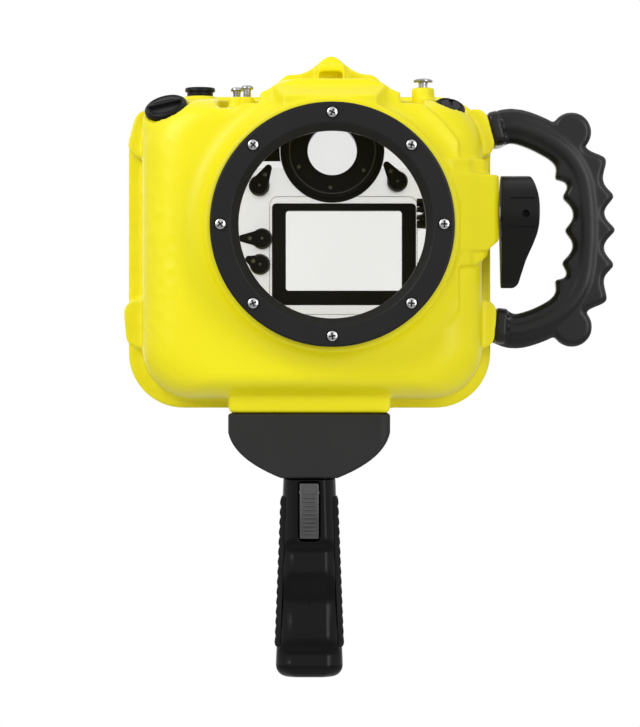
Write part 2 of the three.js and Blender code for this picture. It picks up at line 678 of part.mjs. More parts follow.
// Space for the camera, open at the rear
function cameraSpace() {
  const side = MOUTH_WIDTH * HALF;
  const innerFront = BODY_FRONT + FRONT_WALL;
  const ring = (y, share) => roundedRing(
    -side + SIDE_ROUND * share, side - SIDE_ROUND * share,
    MOUTH_BOTTOM + SILL_ROUND * share, MOUTH_TOP - SILL_ROUND * share,
    MOUTH_CORNER - SILL_ROUND * share, (x, z) => new THREE.Vector3(x, y, z),
  );
  const rings = [
    ring(FLANGE_REAR + OVERRUN, 0),
    ring(innerFront + FRONT_ROUND, 0),
    ring(innerFront + FRONT_ROUND * HALF, 0.15),
    ring(innerFront + FRONT_ROUND * 0.15, 0.5),
    ring(innerFront, 1),
  ];
  const humpRoom = plateAlongY(
    humpOutline(HUMP_WALL, MOUTH_TOP, false), innerFront + FRONT_ROUND, FLANGE_REAR + OVERRUN,
  );
  return fuse(loft(rings), humpRoom);
}

// Hump in front of the flange, sloping down to the turret, with the hollow lug on top
function humpForm() {
  const crest = HUMP_TOP - HUMP_DROP;
  const crestFront = BODY_FRONT + HUMP_SLOPE_BACK;
  const slopeFoot = BODY_FRONT - HUMP_NOSE;
  const turretTop = PORT_Z + TURRET_RADIUS;
  const side = outlineOf([
    [slopeFoot, turretTop - HUMP_WALL],
    [FLANGE_REAR, turretTop - HUMP_WALL],
    [FLANGE_REAR, crest + OVERRUN],
    [crestFront, crest + OVERRUN],
    [crestFront * 0.55 + slopeFoot * 0.45, crest * 0.8 + turretTop * 0.2],
    [slopeFoot, turretTop],
  ]);
  const base = FLANGE_TOP - SHELL_STEP * HALF;
  const full = plateAlongY(humpOutline(0, base, false, HUMP_DROP), slopeFoot, FLANGE_REAR);
  const reach = HUMP_WIDTH * HALF + OVERRUN;
  const sloped = full.intersect(plateAlongX(side, HUMP_X - reach, HUMP_X + reach));
  return fuse(sloped, hollowLug(crest));
}

// Lug against the flange, hollow from the front under its lip
function hollowLug(crest) {
  const half = LUG_WIDTH * HALF;
  const front = FLANGE_FRONT - LUG_LENGTH;
  const block = roundedOutline(
    PEAK_X - half, PEAK_X + half, crest - HUMP_DROP, crest + LUG_RISE, LUG_WALL,
  );
  const hollow = roundedOutline(
    PEAK_X - half + LUG_WALL, PEAK_X + half - LUG_WALL, crest + GAP, crest + LUG_RISE - LUG_LIP, GAP,
  );
  return carve(
    plateAlongY(block, front, FLANGE_REAR - FLANGE_THICKNESS * HALF, 3),
    plateAlongY(hollow, front - OVERRUN, front + LUG_LENGTH * 0.7, 1),
  );
}

// Collar round the port, flaring into the body and the hump but not past them
function turretForm() {
  const centre = new THREE.Vector3(PORT_X, BODY_FRONT, PORT_Z);
  const steps = 3;
  const fillet = Array.from({ length: steps + 1 }, (_, step) => {
    const angle = (step / steps) * Math.PI * HALF;
    return [
      TURRET_RADIUS + TURRET_FILLET * (1 - Math.sin(angle)),
      TURRET_FILLET * (1 - Math.cos(angle)),
    ];
  });
  const flare = turned([
    [TURRET_RADIUS + TURRET_FILLET, -FRONT_WALL * HALF],
    ...fillet,
    [TURRET_RADIUS, TURRET_HEIGHT - TURRET_EDGE],
    [TURRET_RADIUS - TURRET_EDGE, TURRET_HEIGHT],
  ], ROUND_LARGE, FORWARD, centre);
  const side = SHELL_WIDTH * HALF - SIDE_ROUND * HALF;
  const sill = SHELL_STEP + SILL_ROUND * HALF;
  const face = roundedOutline(
    -side, side, FLANGE_BOTTOM + sill, FLANGE_TOP - sill, SHELL_CORNER - SILL_ROUND * HALF,
  );
  const base = FLANGE_TOP - SHELL_STEP * HALF;
  const limit = fuse(
    plateAlongY(face, TURRET_FRONT - OVERRUN, 0),
    plateAlongY(humpOutline(0, base, false, HUMP_DROP), TURRET_FRONT - OVERRUN, 0),
  );
  return flare.intersect(limit);
}

function portScrewPlaces() {
  return Array.from({ length: PORT_SCREW_COUNT }, (_, k) => {
    const angle = (2 * Math.PI * k) / PORT_SCREW_COUNT;
    const radius = PORT_SCREW_CIRCLE * HALF;
    return { x: PORT_X + radius * Math.cos(angle), z: PORT_Z + radius * Math.sin(angle) };
  });
}

function thumbScrewPlaces() {
  const side = FLANGE_WIDTH * HALF - THUMB_CORNER_IN;
  const low = FLANGE_BOTTOM + THUMB_CORNER_IN;
  const high = FLANGE_TOP - THUMB_CORNER_IN;
  return [
    { x: PEAK_X, z: HUMP_TOP + THUMB_TOP_RISE },
    { x: side, z: high },
    { x: side, z: low },
    { x: 0, z: FLANGE_BOTTOM + THUMB_BOTTOM_RISE },
    { x: -side, z: low },
    { x: -side, z: high },
  ];
}

// Frame of a handle foot: where its face lies, the outward direction and the direction along it
function footFrame(foot, side) {
  const tilt = THREE.MathUtils.degToRad(foot.tilt);
  const normal = new THREE.Vector3(side * Math.cos(tilt), 0, Math.sin(tilt));
  return { face: new THREE.Vector3(side * foot.out, HANDLE_Y, foot.up), normal };
}

// Block on a foot's frame, between two distances along its outward direction
function footBlock(frame, length, height, from, to, round) {
  const shape = roundedOutline(-length * HALF, length * HALF, -height * HALF, height * HALF, round);
  const geometry = plate(shape, to - from, 2);
  geometry.translate(0, 0, from);
  const acrossSlope = new THREE.Vector3().crossVectors(frame.normal, REARWARD);
  geometry.applyMatrix4(new THREE.Matrix4().makeBasis(REARWARD, acrossSlope, frame.normal));
  geometry.translate(frame.face.x, frame.face.y, frame.face.z);
  return solidOf(geometry);
}

function footBoltFeet(frame) {
  return [-1, 1].map((end) => (
    frame.face.clone().addScaledVector(REARWARD, end * FOOT_BOLT_SPREAD * HALF)
  ));
}

const FEET = [UPPER_FOOT, LOWER_FOOT];

function handleBosses() {
  return [-1, 1].flatMap((side) => FEET.map((foot) => (
    footBlock(footFrame(foot, side), FOOT_LENGTH, BOSS_HEIGHT, -BOSS_DEPTH, 0, BOSS_ROUND)
  )));
}

function handleBoltHoles() {
  return [-1, 1].flatMap((side) => FEET.flatMap((foot) => {
    const frame = footFrame(foot, side);
    return footBoltFeet(frame).map((place) => (
      drill(FOOT_BOLT_SHANK, -FOOT_BOLT_REACH - GAP, OVERRUN, frame.normal, place)
    ));
  }));
}

// Block that carries the knob: its front face turns back to the flat right side
function gearboxTier(drawIn, rise) {
  const front = BODY_FRONT - GEARBOX_PROUD * (drawIn > 0 ? HALF : 1);
  const rear = KNOB_Y + GEARBOX_LENGTH;
  const root = MOUTH_WIDTH * HALF - SIDE_ROUND;
  const right = GEARBOX_RIGHT - drawIn;
  const turn = GEARBOX_FACE - drawIn;
  const planView = outlineOf([
    [root, BODY_FRONT + FRONT_WALL * HALF], [root, front], [turn, front],
    [right - GEARBOX_BEVEL * HALF, KNOB_Y - GEARBOX_LENGTH],
    [right, KNOB_Y - GEARBOX_LENGTH + GEARBOX_BEVEL], [right, rear], [root, rear],
  ]);
  const bottom = GEARBOX_BOTTOM - rise;
  const top = GEARBOX_TOP + rise;
  const frontView = outlineOf([
    [root, bottom], [right - 2 * GEARBOX_BEVEL, bottom], [right, bottom + GEARBOX_BEVEL],
    [right, top], [root, top],
  ]);
  return plateAlongZ(planView, bottom, top).intersect(plateAlongY(frontView, front, rear));
}

const gearboxForm = () => fuse(gearboxTier(0, 0), gearboxTier(STEP_IN, STEP_RISE));

function plugFrame(place, side) {
  const lean = THREE.MathUtils.degToRad(PLUG_LEAN);
  const splay = THREE.MathUtils.degToRad(PLUG_SPLAY);
  const normal = new THREE.Vector3(side * Math.sin(splay), -Math.sin(lean), Math.cos(lean));
  return { centre: new THREE.Vector3(...place), normal: normal.normalize() };
}

const LEFT_PLUG = { ...plugFrame(LEFT_PLUG_AT, -1), diameter: LEFT_PLUG_DIAMETER };
const RIGHT_PLUG = { ...plugFrame(RIGHT_PLUG_AT, 1), diameter: RIGHT_PLUG_DIAMETER };
const PLUGS = [LEFT_PLUG, RIGHT_PLUG];

// Column that rises out of the body's corner to the plug's seat
function plugSeat({ centre, normal, diameter }) {
  const radius = diameter * HALF + PLUG_SEAT_RIM;
  const column = turned(
    [[radius * HALF, -PLUG_COLUMN], [radius, -PLUG_COLUMN * HALF], [radius, radius]],
    ROUND_MEDIUM, UP, centre,
  );
  const above = rod(2 * diameter, 0, 2 * diameter, ROUND_MEDIUM, normal, centre);
  return carve(column, above);
}

// Bore for the stem, and room for the head above the seat
function plugBore({ centre, normal, diameter }) {
  const radius = (diameter * PLUG_STEM_SHARE + GAP) / Math.cos(Math.PI / ROUND_SMALL);
  return [
    rod(radius, -2 * PLUG_STEM_LENGTH, OVERRUN, ROUND_SMALL, normal, centre),
    rod(diameter * HALF + PLUG_SEAT_RIM, 0, diameter, ROUND_MEDIUM, normal, centre),
  ];
}

const PAIR = [
  { x: PAIR_FRONT_X, y: PAIR_FRONT_Y },
  { x: PAIR_REAR_X, y: PAIR_REAR_Y },
];
const PAIR_MIDDLE_X = (PAIR_FRONT_X + PAIR_REAR_X) * HALF;
const PAIR_MIDDLE_Y = (PAIR_FRONT_Y + PAIR_REAR_Y) * HALF;

function boxPlan(x, y, width, length, bottom, top, round) {
  const shape = roundedOutline(
    x - width * HALF, x + width * HALF, y - length * HALF, y + length * HALF, round,
  );
  return plateAlongZ(shape, bottom, top, 3);
}

function topBosses() {
  const root = MOUTH_TOP + GAP;
  const at = (x, y) => new THREE.Vector3(x, y, 0);
  return [
    rod(SHUTTER_BOSS_DIAMETER * HALF, root, SHUTTER_BOSS_TOP, ROUND_MEDIUM, UP, at(SHUTTER_X, SHUTTER_Y)),
    rod(RIGHT_BOSS_DIAMETER * HALF, root, RIGHT_BOSS_TOP, ROUND_MEDIUM, UP,
      at(RIGHT_BUTTON_X, RIGHT_BUTTON_Y)),
    boxPlan(
      PAIR_MIDDLE_X, PAIR_MIDDLE_Y, PAIR_BOSS_WIDTH, PAIR_BOSS_LENGTH, root, PAIR_BOSS_TOP,
      PAIR_CAP_DIAMETER * HALF,
    ),
  ];
}

function topBores() {
  const bore = (x, y, stem) => (
    drill(stem, MOUTH_TOP - MOUTH_CORNER, HUMP_TOP, UP, new THREE.Vector3(x, y, 0))
  );
  return [
    bore(SHUTTER_X, SHUTTER_Y, SHUTTER_STEM),
    bore(RIGHT_BUTTON_X, RIGHT_BUTTON_Y, TOP_BUTTON_STEM),
    ...PAIR.map(({ x, y }) => bore(x, y, PAIR_STEM)),
  ];
}

// Recesses open to the front, left and right of the hump
function topRecesses() {
  const front = PAIR_MIDDLE_Y - RECESS_LENGTH;
  const rear = PAIR_MIDDLE_Y + RECESS_LENGTH * HALF - PAIR_CAP_DIAMETER;
  const middle = (front + rear) * HALF;
  return [
    [PAIR_MIDDLE_X, RECESS_WIDTH], [RIGHT_RECESS_X, RIGHT_RECESS_WIDTH],
  ].map(([x, width]) => (
    boxPlan(x, middle, width, rear - front, RECESS_FLOOR, HUMP_TOP, PAIR_CAP_DIAMETER * HALF)
  ));
}

function frontShell() {
  const side = PAD_WIDTH * HALF;
  const portCentre = new THREE.Vector3(PORT_X, 0, PORT_Z);
  const pad = plateAlongY(
    roundedOutline(-side, side, PAD_BOTTOM, MOUTH_BOTTOM - GAP, PAD_ROUND),
    FLANGE_REAR - PAD_LENGTH, FLANGE_REAR,
  );
  const body = carve(fuse(shellForm(), handleBosses()), topRecesses());
  const solid = fuse(
    body, flangePlate(FLANGE_FRONT, FLANGE_REAR), humpForm(), turretForm(), pad,
    gearboxForm(), PLUGS.map(plugSeat),
  );
  const throat = rod(
    PORT_RADIUS + GAP, -FLANGE_FRONT, -TURRET_FRONT + OVERRUN, ROUND_LARGE, FORWARD, portCentre,
  );
  const hollow = carve(solid, cameraSpace(), throat);
  const withBosses = fuse(hollow, topBosses());
  const sealHalf = PORT_SEAL_SECTION * HALF + GAP;
  const portGroove = turnedRing([
    [PORT_SEAL_RADIUS - sealHalf, -OVERRUN], [PORT_SEAL_RADIUS + sealHalf, -OVERRUN],
    [PORT_SEAL_RADIUS + sealHalf, PORT_SEAL_SECTION + GAP],
    [PORT_SEAL_RADIUS - sealHalf, PORT_SEAL_SECTION + GAP],
  ], ROUND_LARGE, REARWARD, new THREE.Vector3(PORT_X, TURRET_FRONT, PORT_Z));
  const rearGroove = mouthPlate(SEAL_OFFSET + SEAL_WIDTH + GAP, FLANGE_REAR - SEAL_DEPTH - GAP,
    FLANGE_REAR + OVERRUN).subtract(mouthPlate(SEAL_OFFSET - GAP, FLANGE_REAR - SEAL_DEPTH * 2,
    FLANGE_REAR + OVERRUN * 2));
  const portHoles = portScrewPlaces().map(({ x, z }) => (
    drill(PORT_SCREW_SHANK, -OVERRUN, PORT_SCREW_REACH + GAP, REARWARD,
      new THREE.Vector3(x, TURRET_FRONT, z))
  ));
  const thumbHoles = thumbScrewPlaces().map(({ x, z }) => (
    drill(THUMB_SHANK, -THUMB_THREAD - GAP, OVERRUN, REARWARD, new THREE.Vector3(x, FLANGE_REAR, z))
  ));
  const knobAxis = new THREE.Vector3(0, KNOB_Y, KNOB_Z);
  const wall = MOUTH_WIDTH * HALF;
  const shaftBore = fuse(
    rod(BUSH_RADIUS + GAP, wall - OVERRUN, GEARBOX_RIGHT + OVERRUN, ROUND_MEDIUM, RIGHT, knobAxis),
    rod(BUSH_RADIUS + BUSH_WALL + GAP, wall - SIDE_ROUND, wall, ROUND_MEDIUM, RIGHT, knobAxis),
  );
  const bracketHoles = [-1, 1].map((end) => (
    drill(BRACKET_BOLT_SHANK, -OVERRUN, BRACKET_BOLT_REACH + GAP, UP,
      new THREE.Vector3(end * BRACKET_BOLT_X, BRACKET_BOLT_Y, PAD_BOTTOM))
  ));
  const trayHole = drill(TRAY_SCREW_SHANK, -TRAY_SCREW_REACH - GAP, OVERRUN, UP,
    new THREE.Vector3(PORT_X, TRAY_Y, MOUTH_BOTTOM));
  return carve(
    withBosses, portGroove, rearGroove, portHoles, thumbHoles, shaftBore, topBores(),
    PLUGS.flatMap(plugBore), handleBoltHoles(), bracketHoles, trayHole,
  );
}

piece('front_shell', frontShell(), yellow);

// Port ring, its seal and its screws

function portRing() {
  const centre = new THREE.Vector3(PORT_X, RING_REAR, PORT_Z);
  const ring = turnedRing([
    [PORT_RADIUS, 0],
    [RING_RADIUS, 0],
    [RING_RADIUS, RING_THICKNESS - RING_CHAMFER],
    [RING_RADIUS - RING_CHAMFER, RING_THICKNESS],
    [PORT_RADIUS + RING_BEVEL, RING_THICKNESS],
    [PORT_RADIUS, RING_THICKNESS - RING_BEVEL],
  ], ROUND_LARGE, FORWARD, centre);
  const holes = portScrewPlaces().map(({ x, z }) => (
    drill(PORT_SCREW_SHANK, -OVERRUN, RING_THICKNESS + OVERRUN, FORWARD,
      new THREE.Vector3(x, RING_REAR, z))
  ));
  return carve(ring, holes);
}

function portSeal() {
  const radius = PORT_SEAL_SECTION * HALF;
  const sides = 5;
  const section = Array.from({ length: sides }, (_, k) => {
    const angle = (2 * Math.PI * k) / sides;
    return [PORT_SEAL_RADIUS + radius * Math.cos(angle), radius * Math.sin(angle)];
  });
  const centre = new THREE.Vector3(PORT_X, TURRET_FRONT + radius, PORT_Z);
  return turnedRing(section, ROUND_LARGE, REARWARD, centre);
}

// Screw with a domed head and a six-sided socket, pointing down from the head's seat
function socketScrew(shank, head, headHeight, length, sides = ROUND_SCREW) {
  const body = turned([
    [shank * HALF, -length],
    [shank * HALF, 0],
    [head * HALF, 0],
    [head * 0.4, headHeight],
  ], sides, UP);
  const socket = rod(head * 0.21, headHeight * 0.4, headHeight + OVERRUN, 6, UP);
  return carve(body, socket);
}

function aimMesh(mesh, direction, place) {
  mesh.quaternion.setFromUnitVectors(UP, direction);
  mesh.position.copy(place);
}

piece('port_ring', portRing(), anodised);
piece('port_seal', portSeal(), rubber);
portScrewPlaces().forEach(({ x, z }, k) => {
  const screw = socketScrew(
    PORT_SCREW_SHANK, PORT_SCREW_HEAD, PORT_SCREW_HEAD_HEIGHT,
    RING_THICKNESS + PORT_SCREW_REACH,
  );
  const mesh = piece(`port_screw_${k + 1}`, screw, steel);
  aimMesh(mesh, FORWARD, new THREE.Vector3(x, RING_FRONT - GAP, z));
});

// Rear seal in its groove
piece('rear_seal', carve(
  mouthPlate(SEAL_OFFSET + SEAL_WIDTH, FLANGE_REAR - SEAL_DEPTH, FLANGE_REAR),
  mouthPlate(SEAL_OFFSET, FLANGE_REAR - SEAL_DEPTH - OVERRUN, FLANGE_REAR + OVERRUN),
), rubber);

// Side handle

function handleRoute() {
  const lower = LOWER_FOOT.out;
  return new THREE.CatmullRomCurve3(HANDLE_ROUTE_SHARES.map(([across, up]) => (
    new THREE.Vector3(lower + across * HANDLE_REACH, HANDLE_Y, HANDLE_Z + up * HANDLE_HALF_HEIGHT)
  )), false, 'centripetal');
}

function lobeSwell(share, lobes, height, length) {
  return lobes.reduce((sum, lobe) => (
    sum + height * Math.exp(-((((share - lobe) * length) / LOBE_LENGTH) ** 2))
  ), 0);
}

function handleOutline(route) {
  const steps = 36;
  const length = route.getLength();
  const outer = [];
  const inner = [];
  for (let step = 0; step <= steps; step += 1) {
    const share = step / steps;
    const point = route.getPointAt(share);
    const along = route.getTangentAt(share);
    const half = HANDLE_ARM * HALF - LOBE_INSIDE * HALF * Math.sin(Math.PI * share) ** 2;
    const out = half + lobeSwell(share, OUTER_LOBE_SHARES, LOBE_OUTSIDE, length);
    const within = half + lobeSwell(share, INNER_LOBE_SHARES, LOBE_INSIDE, length);
    outer.push([point.x + along.z * out, point.z - along.x * out]);
    inner.unshift([point.x - along.z * within, point.z + along.x * within]);
  }
  return outlineOf([...outer, ...inner]);
}

function sideHandle() {
  const route = handleRoute();
  const section = new THREE.Shape().absarc(0, 0, HANDLE_TUBE * HALF, 0, 2 * Math.PI);
  const tube = new THREE.ExtrudeGeometry(section, { curveSegments: 4, steps: 13, extrudePath: route });
  const web = plateAlongY(
    handleOutline(route), HANDLE_Y - HANDLE_WEB * HALF, HANDLE_Y + HANDLE_WEB * HALF, 1,
  );
  const feet = FEET.map((foot) => footBlock(
    footFrame(foot, 1), FOOT_LENGTH, FOOT_HEIGHT, GAP, FOOT_THICKNESS, BOSS_ROUND,
  ));
  const room = FEET.map((foot) => footBlock(
    footFrame(foot, 1), FOOT_LENGTH + OVERRUN, BOSS_HEIGHT * 2, -BOSS_DEPTH, GAP, BOSS_ROUND,
  ));
  const holes = FEET.flatMap((foot) => {
    const frame = footFrame(foot, 1);
    return footBoltFeet(frame).map((place) => (
      drill(FOOT_BOLT_SHANK, -OVERRUN, FOOT_THICKNESS + OVERRUN, frame.normal, place)
    ));
  });
  return carve(fuse(solidOf(tube), web, feet), room, holes);
}

piece('side_handle', sideHandle(), blackPlastic);
FEET.flatMap((foot) => {
  const frame = footFrame(foot, 1);
  return footBoltFeet(frame).map((place) => ({ place, normal: frame.normal }));
}).forEach(({ place, normal }, k) => {
  const bolt = socketScrew(
    FOOT_BOLT_SHANK, FOOT_BOLT_HEAD, FOOT_BOLT_HEAD_HEIGHT,
    FOOT_THICKNESS + FOOT_BOLT_REACH,
  );
  const mesh = piece(`handle_bolt_${k + 1}`, bolt, steel);
  aimMesh(mesh, normal, place.clone().addScaledVector(normal, FOOT_THICKNESS + GAP));
});

// Bracket and pistol grip

function gripBracket() {
  const side = PAD_WIDTH * HALF;
  const top = PAD_BOTTOM - GAP;
  const foot = BRACKET_FOOT * HALF;
  const sideEnd = top - BRACKET_SIDE;
  const shape = new THREE.Shape();
  shape.moveTo(-foot, BRACKET_BOTTOM);
  shape.lineTo(foot, BRACKET_BOTTOM);
  shape.quadraticCurveTo(side - BRACKET_BEVEL, BRACKET_BOTTOM + BRACKET_SIDE, side, sideEnd);
  shape.lineTo(side, top);
  shape.lineTo(-side, top);
  shape.lineTo(-side, sideEnd);
  shape.quadraticCurveTo(-side + BRACKET_BEVEL, BRACKET_BOTTOM + BRACKET_SIDE, -foot, BRACKET_BOTTOM);
  const block = plateAlongY(shape, BRACKET_FRONT, BRACKET_FRONT + BRACKET_LENGTH, 8);
  const seat = top - BRACKET_BOLT_FLOOR;
  const bolts = [-1, 1].flatMap((end) => {
    const at = new THREE.Vector3(end * BRACKET_BOLT_X, BRACKET_BOLT_Y, 0);
    return [
      drill(BRACKET_BOLT_SHANK, seat - OVERRUN, top + OVERRUN, UP, at),
      drill(BRACKET_BOLT_HEAD, BRACKET_BOTTOM - OVERRUN, seat, UP, at),
    ];
  });
  const gripHole = drill(GRIP_BOLT_SHANK, BRACKET_BOTTOM - OVERRUN,
    BRACKET_BOTTOM + GRIP_BOLT_REACH + GAP, UP, new THREE.Vector3(0, GRIP_BOLT_Y, 0));
  return carve(block, bolts, gripHole);
}

// Half width of the grip at a height
const gripHalf = (z) => {
  const share = (GRIP_TOP - z) / (GRIP_TOP - GRIP_BUTT);
  return (GRIP_TOP_WIDTH + (GRIP_BUTT_WIDTH - GRIP_TOP_WIDTH) * share) * HALF;
};

// Tilt of each side of the grip from upright
const GRIP_TAPER = Math.atan2(gripHalf(GRIP_BUTT) - gripHalf(GRIP_TOP), GRIP_TOP - GRIP_BUTT);
const SIDE_PANEL_HEIGHT = RIB_COUNT * RIB_PITCH;
const SIDE_PANEL_MIDDLE = SIDE_PANEL_TOP - SIDE_PANEL_HEIGHT * HALF;

// Plate that lies in one side of the grip, grown by a clearance
function sidePanelSeat(side, grow) {
  const shape = roundedOutline(
    -SIDE_PANEL_DEPTH * HALF - grow, SIDE_PANEL_DEPTH * HALF + grow,
    -SIDE_PANEL_HEIGHT * HALF - grow, SIDE_PANEL_HEIGHT * HALF + grow, grow,
  );
  const seat = plate(shape, SIDE_PANEL_THICKNESS + 2 * grow + OVERRUN, 1);
  seat.translate(0, 0, -SIDE_PANEL_THICKNESS - grow);
  seat.applyMatrix4(new THREE.Matrix4().makeBasis(REARWARD, UP, RIGHT));
  seat.rotateY(GRIP_TAPER);
  seat.translate(gripHalf(SIDE_PANEL_MIDDLE), 0, SIDE_PANEL_MIDDLE);
  if (side < 0) seat.rotateZ(Math.PI);
  return solidOf(seat);
}

function pistolGrip() {
  const depth = GRIP_DEPTH * HALF;
  const ring = (z, inset) => {
    const half = gripHalf(z) - inset;
    const deep = depth - inset;
    return roundedRing(-half, half, -deep, deep, GRIP_CORNER - inset * HALF,
      (x, y) => new THREE.Vector3(x, y, z));
  };
  const rings = [ring(GRIP_TOP, 0), ring(GRIP_BUTT + GRIP_BUTT_ROUND, 0)];
  const roundSteps = 4;
  for (let step = 1; step <= roundSteps; step += 1) {
    const angle = (step / roundSteps) * Math.PI * HALF;
    rings.push(ring(
      GRIP_BUTT + GRIP_BUTT_ROUND * (1 - Math.sin(angle)),
      GRIP_BUTT_ROUND * (1 - Math.cos(angle)),
    ));
  }
  const width = TRIGGER_WIDTH * HALF + GAP;
  const face = FACE_PANEL_WIDTH * HALF;
  const facePanel = plateAlongY(
    roundedOutline(-face, face, FACE_PANEL_BOTTOM, GRIP_TOP + GRIP_CORNER, GRIP_CORNER * HALF),
    GRIP_FRONT - OVERRUN, GRIP_FRONT + FACE_PANEL_DEPTH,
  );
  const slot = plateAlongX(
    roundedOutline(
      GRIP_FRONT - OVERRUN, SWITCH_FRONT,
      TRIGGER_BOTTOM - GAP - TRIGGER_RIB_HEIGHT, TRIGGER_TOP + GAP, GAP,
    ),
    -width, width, 1,
  );
  const switchRoom = plateAlongX(
    roundedOutline(
      SWITCH_FRONT - OVERRUN, SWITCH_FRONT + SWITCH_DEPTH + GAP,
      SWITCH_BOTTOM - GAP, SWITCH_BOTTOM + SWITCH_HEIGHT + GAP, GAP,
    ),
    -SWITCH_WIDTH * HALF - GAP, SWITCH_WIDTH * HALF + GAP, 1,
  );
  const pinBore = drill(
    TRIGGER_PIN_DIAMETER, -TRIGGER_PIN_LENGTH, TRIGGER_PIN_LENGTH * HALF + GAP, RIGHT,
    new THREE.Vector3(0, TRIGGER_PIN_Y, TRIGGER_PIN_Z),
  );
  const boltAt = new THREE.Vector3(0, GRIP_BOLT_Y, 0);
  const boltSeat = GRIP_BUTT + GRIP_BOLT_SINK;
  const boltBore = [
    drill(GRIP_BOLT_SHANK, GRIP_BUTT - OVERRUN, GRIP_TOP + OVERRUN, UP, boltAt),
    drill(GRIP_BOLT_HEAD, GRIP_BUTT - OVERRUN, boltSeat, UP, boltAt),
  ];
  return carve(
    loft(rings), facePanel, slot, switchRoom, pinBore, boltBore,
    sidePanelSeat(1, GAP), sidePanelSeat(-1, GAP),
  );
}

// Rubber panel with round ribs across it, its outer face along +X before it is turned
function ribbedPanel() {
  const half = SIDE_PANEL_HEIGHT * HALF;
  const ribSteps = 3;
  const crest = Array.from({ length: RIB_COUNT * ribSteps }, (_, step) => {
    const phase = (step % ribSteps) / ribSteps;
    const z = half - (step / ribSteps) * RIB_PITCH;
    return [phase === 0 ? 0 : RIB_HEIGHT, z];
  });
  const points = [[-SIDE_PANEL_THICKNESS, half], ...crest, [0, -half], [-SIDE_PANEL_THICKNESS, -half]];
  return plateAlongY(outlineOf(points), -SIDE_PANEL_DEPTH * HALF, SIDE_PANEL_DEPTH * HALF);
}

function placeSidePanel(name, side) {
  const turn = new THREE.Group();
  const mesh = piece(name, ribbedPanel(), rubber, turn);
  mesh.rotation.y = GRIP_TAPER;
  mesh.position.set(gripHalf(SIDE_PANEL_MIDDLE), 0, SIDE_PANEL_MIDDLE);
  turn.rotation.z = side > 0 ? 0 : Math.PI;
  housing.add(turn);
}

piece('grip_bracket', gripBracket(), greyBlack);
[-1, 1].forEach((end, k) => {
  const bolt = socketScrew(
    BRACKET_BOLT_SHANK, BRACKET_BOLT_HEAD, BRACKET_BOLT_HEAD_HEIGHT,
    BRACKET_BOLT_FLOOR + BRACKET_BOLT_REACH,
  );
  const seat = PAD_BOTTOM - GAP - BRACKET_BOLT_FLOOR;
  const mesh = piece(`bracket_bolt_${k + 1}`, bolt, steel);
  aimMesh(mesh, DOWN, new THREE.Vector3(end * BRACKET_BOLT_X, BRACKET_BOLT_Y, seat - GAP));
});
piece('pistol_grip', pistolGrip(), blackPlastic);
placeSidePanel('grip_panel_right', 1);
placeSidePanel('grip_panel_left', -1);

const gripBolt = piece('grip_bolt', socketScrew(
  GRIP_BOLT_SHANK, GRIP_BOLT_HEAD, GRIP_BOLT_HEAD_HEIGHT,
  BRACKET_BOTTOM + GRIP_BOLT_REACH - GRIP_BUTT - GRIP_BOLT_SINK,
), steel);
aimMesh(gripBolt, DOWN, new THREE.Vector3(0, GRIP_BOLT_Y, GRIP_BUTT + GRIP_BOLT_SINK - GAP));

// Trigger with a smooth pad on top and ribs below, drawn from the side round its pin

function triggerSolid() {
  const front = GRIP_FRONT - TRIGGER_PROUD - TRIGGER_PIN_Y;
  const top = TRIGGER_TOP - TRIGGER_PIN_Z;
  const bottom = TRIGGER_BOTTOM - TRIGGER_PIN_Z;
  const height = top - bottom;
  const padShare = 0.34;
  const ribSteps = TRIGGER_RIBS * 2;
  const swell = (share) => TRIGGER_PROUD * 0.45 * Math.sin(Math.PI * share);
  const pad = [0, 0.15, padShare].map((share) => [front - swell(share), top - height * share]);
  const ribs = Array.from({ length: ribSteps }, (_, step) => {
    const share = padShare + (1 - padShare) * ((step + 1) / ribSteps) ** 0.85;
    const out = step % 2 === 0 ? TRIGGER_RIB_HEIGHT : 0;
    return [front - swell(share) + out, top - height * share];
  });
  const shape = outlineOf([
    [front + TRIGGER_BODY, top - TRIGGER_HEEL], [front + TRIGGER_BODY - TRIGGER_HEEL, top],
    ...pad, ...ribs, [front + TRIGGER_BODY * 0.8, bottom],
  ]);
  const body = plateAlongX(shape, -TRIGGER_WIDTH * HALF, TRIGGER_WIDTH * HALF);
  const bore = drill(TRIGGER_PIN_DIAMETER, -TRIGGER_WIDTH, TRIGGER_WIDTH, RIGHT);
  return carve(body, bore);
}

const trigger = piece('trigger', triggerSolid(), triggerGrey);
trigger.position.set(0, TRIGGER_PIN_Y, TRIGGER_PIN_Z);
const triggerPin = piece('trigger_pin', rod(
  TRIGGER_PIN_DIAMETER * HALF, -TRIGGER_PIN_LENGTH * HALF, TRIGGER_PIN_LENGTH * HALF, ROUND_SMALL, RIGHT,
), steel);
triggerPin.position.copy(trigger.position);
piece('trigger_switch', plateAlongX(
  roundedOutline(
    SWITCH_FRONT, SWITCH_FRONT + SWITCH_DEPTH, SWITCH_BOTTOM, SWITCH_BOTTOM + SWITCH_HEIGHT, GAP,
  ),
  -SWITCH_WIDTH * HALF, SWITCH_WIDTH * HALF, 1,
), blackPlastic);

// Zoom control

// Side view of the knob: a disc with a tail hanging from it
function knobOutline() {
  const lean = Math.acos((KNOB_DISC - KNOB_TAIL_RADIUS) / KNOB_TAIL);
  const shape = new THREE.Shape();
  shape.absarc(0, 0, KNOB_DISC, -Math.PI * HALF + lean, Math.PI * 1.5 - lean);
  shape.absarc(0, -KNOB_TAIL, KNOB_TAIL_RADIUS, Math.PI * 1.5 - lean, Math.PI * 1.5 + lean);
  return shape;
}

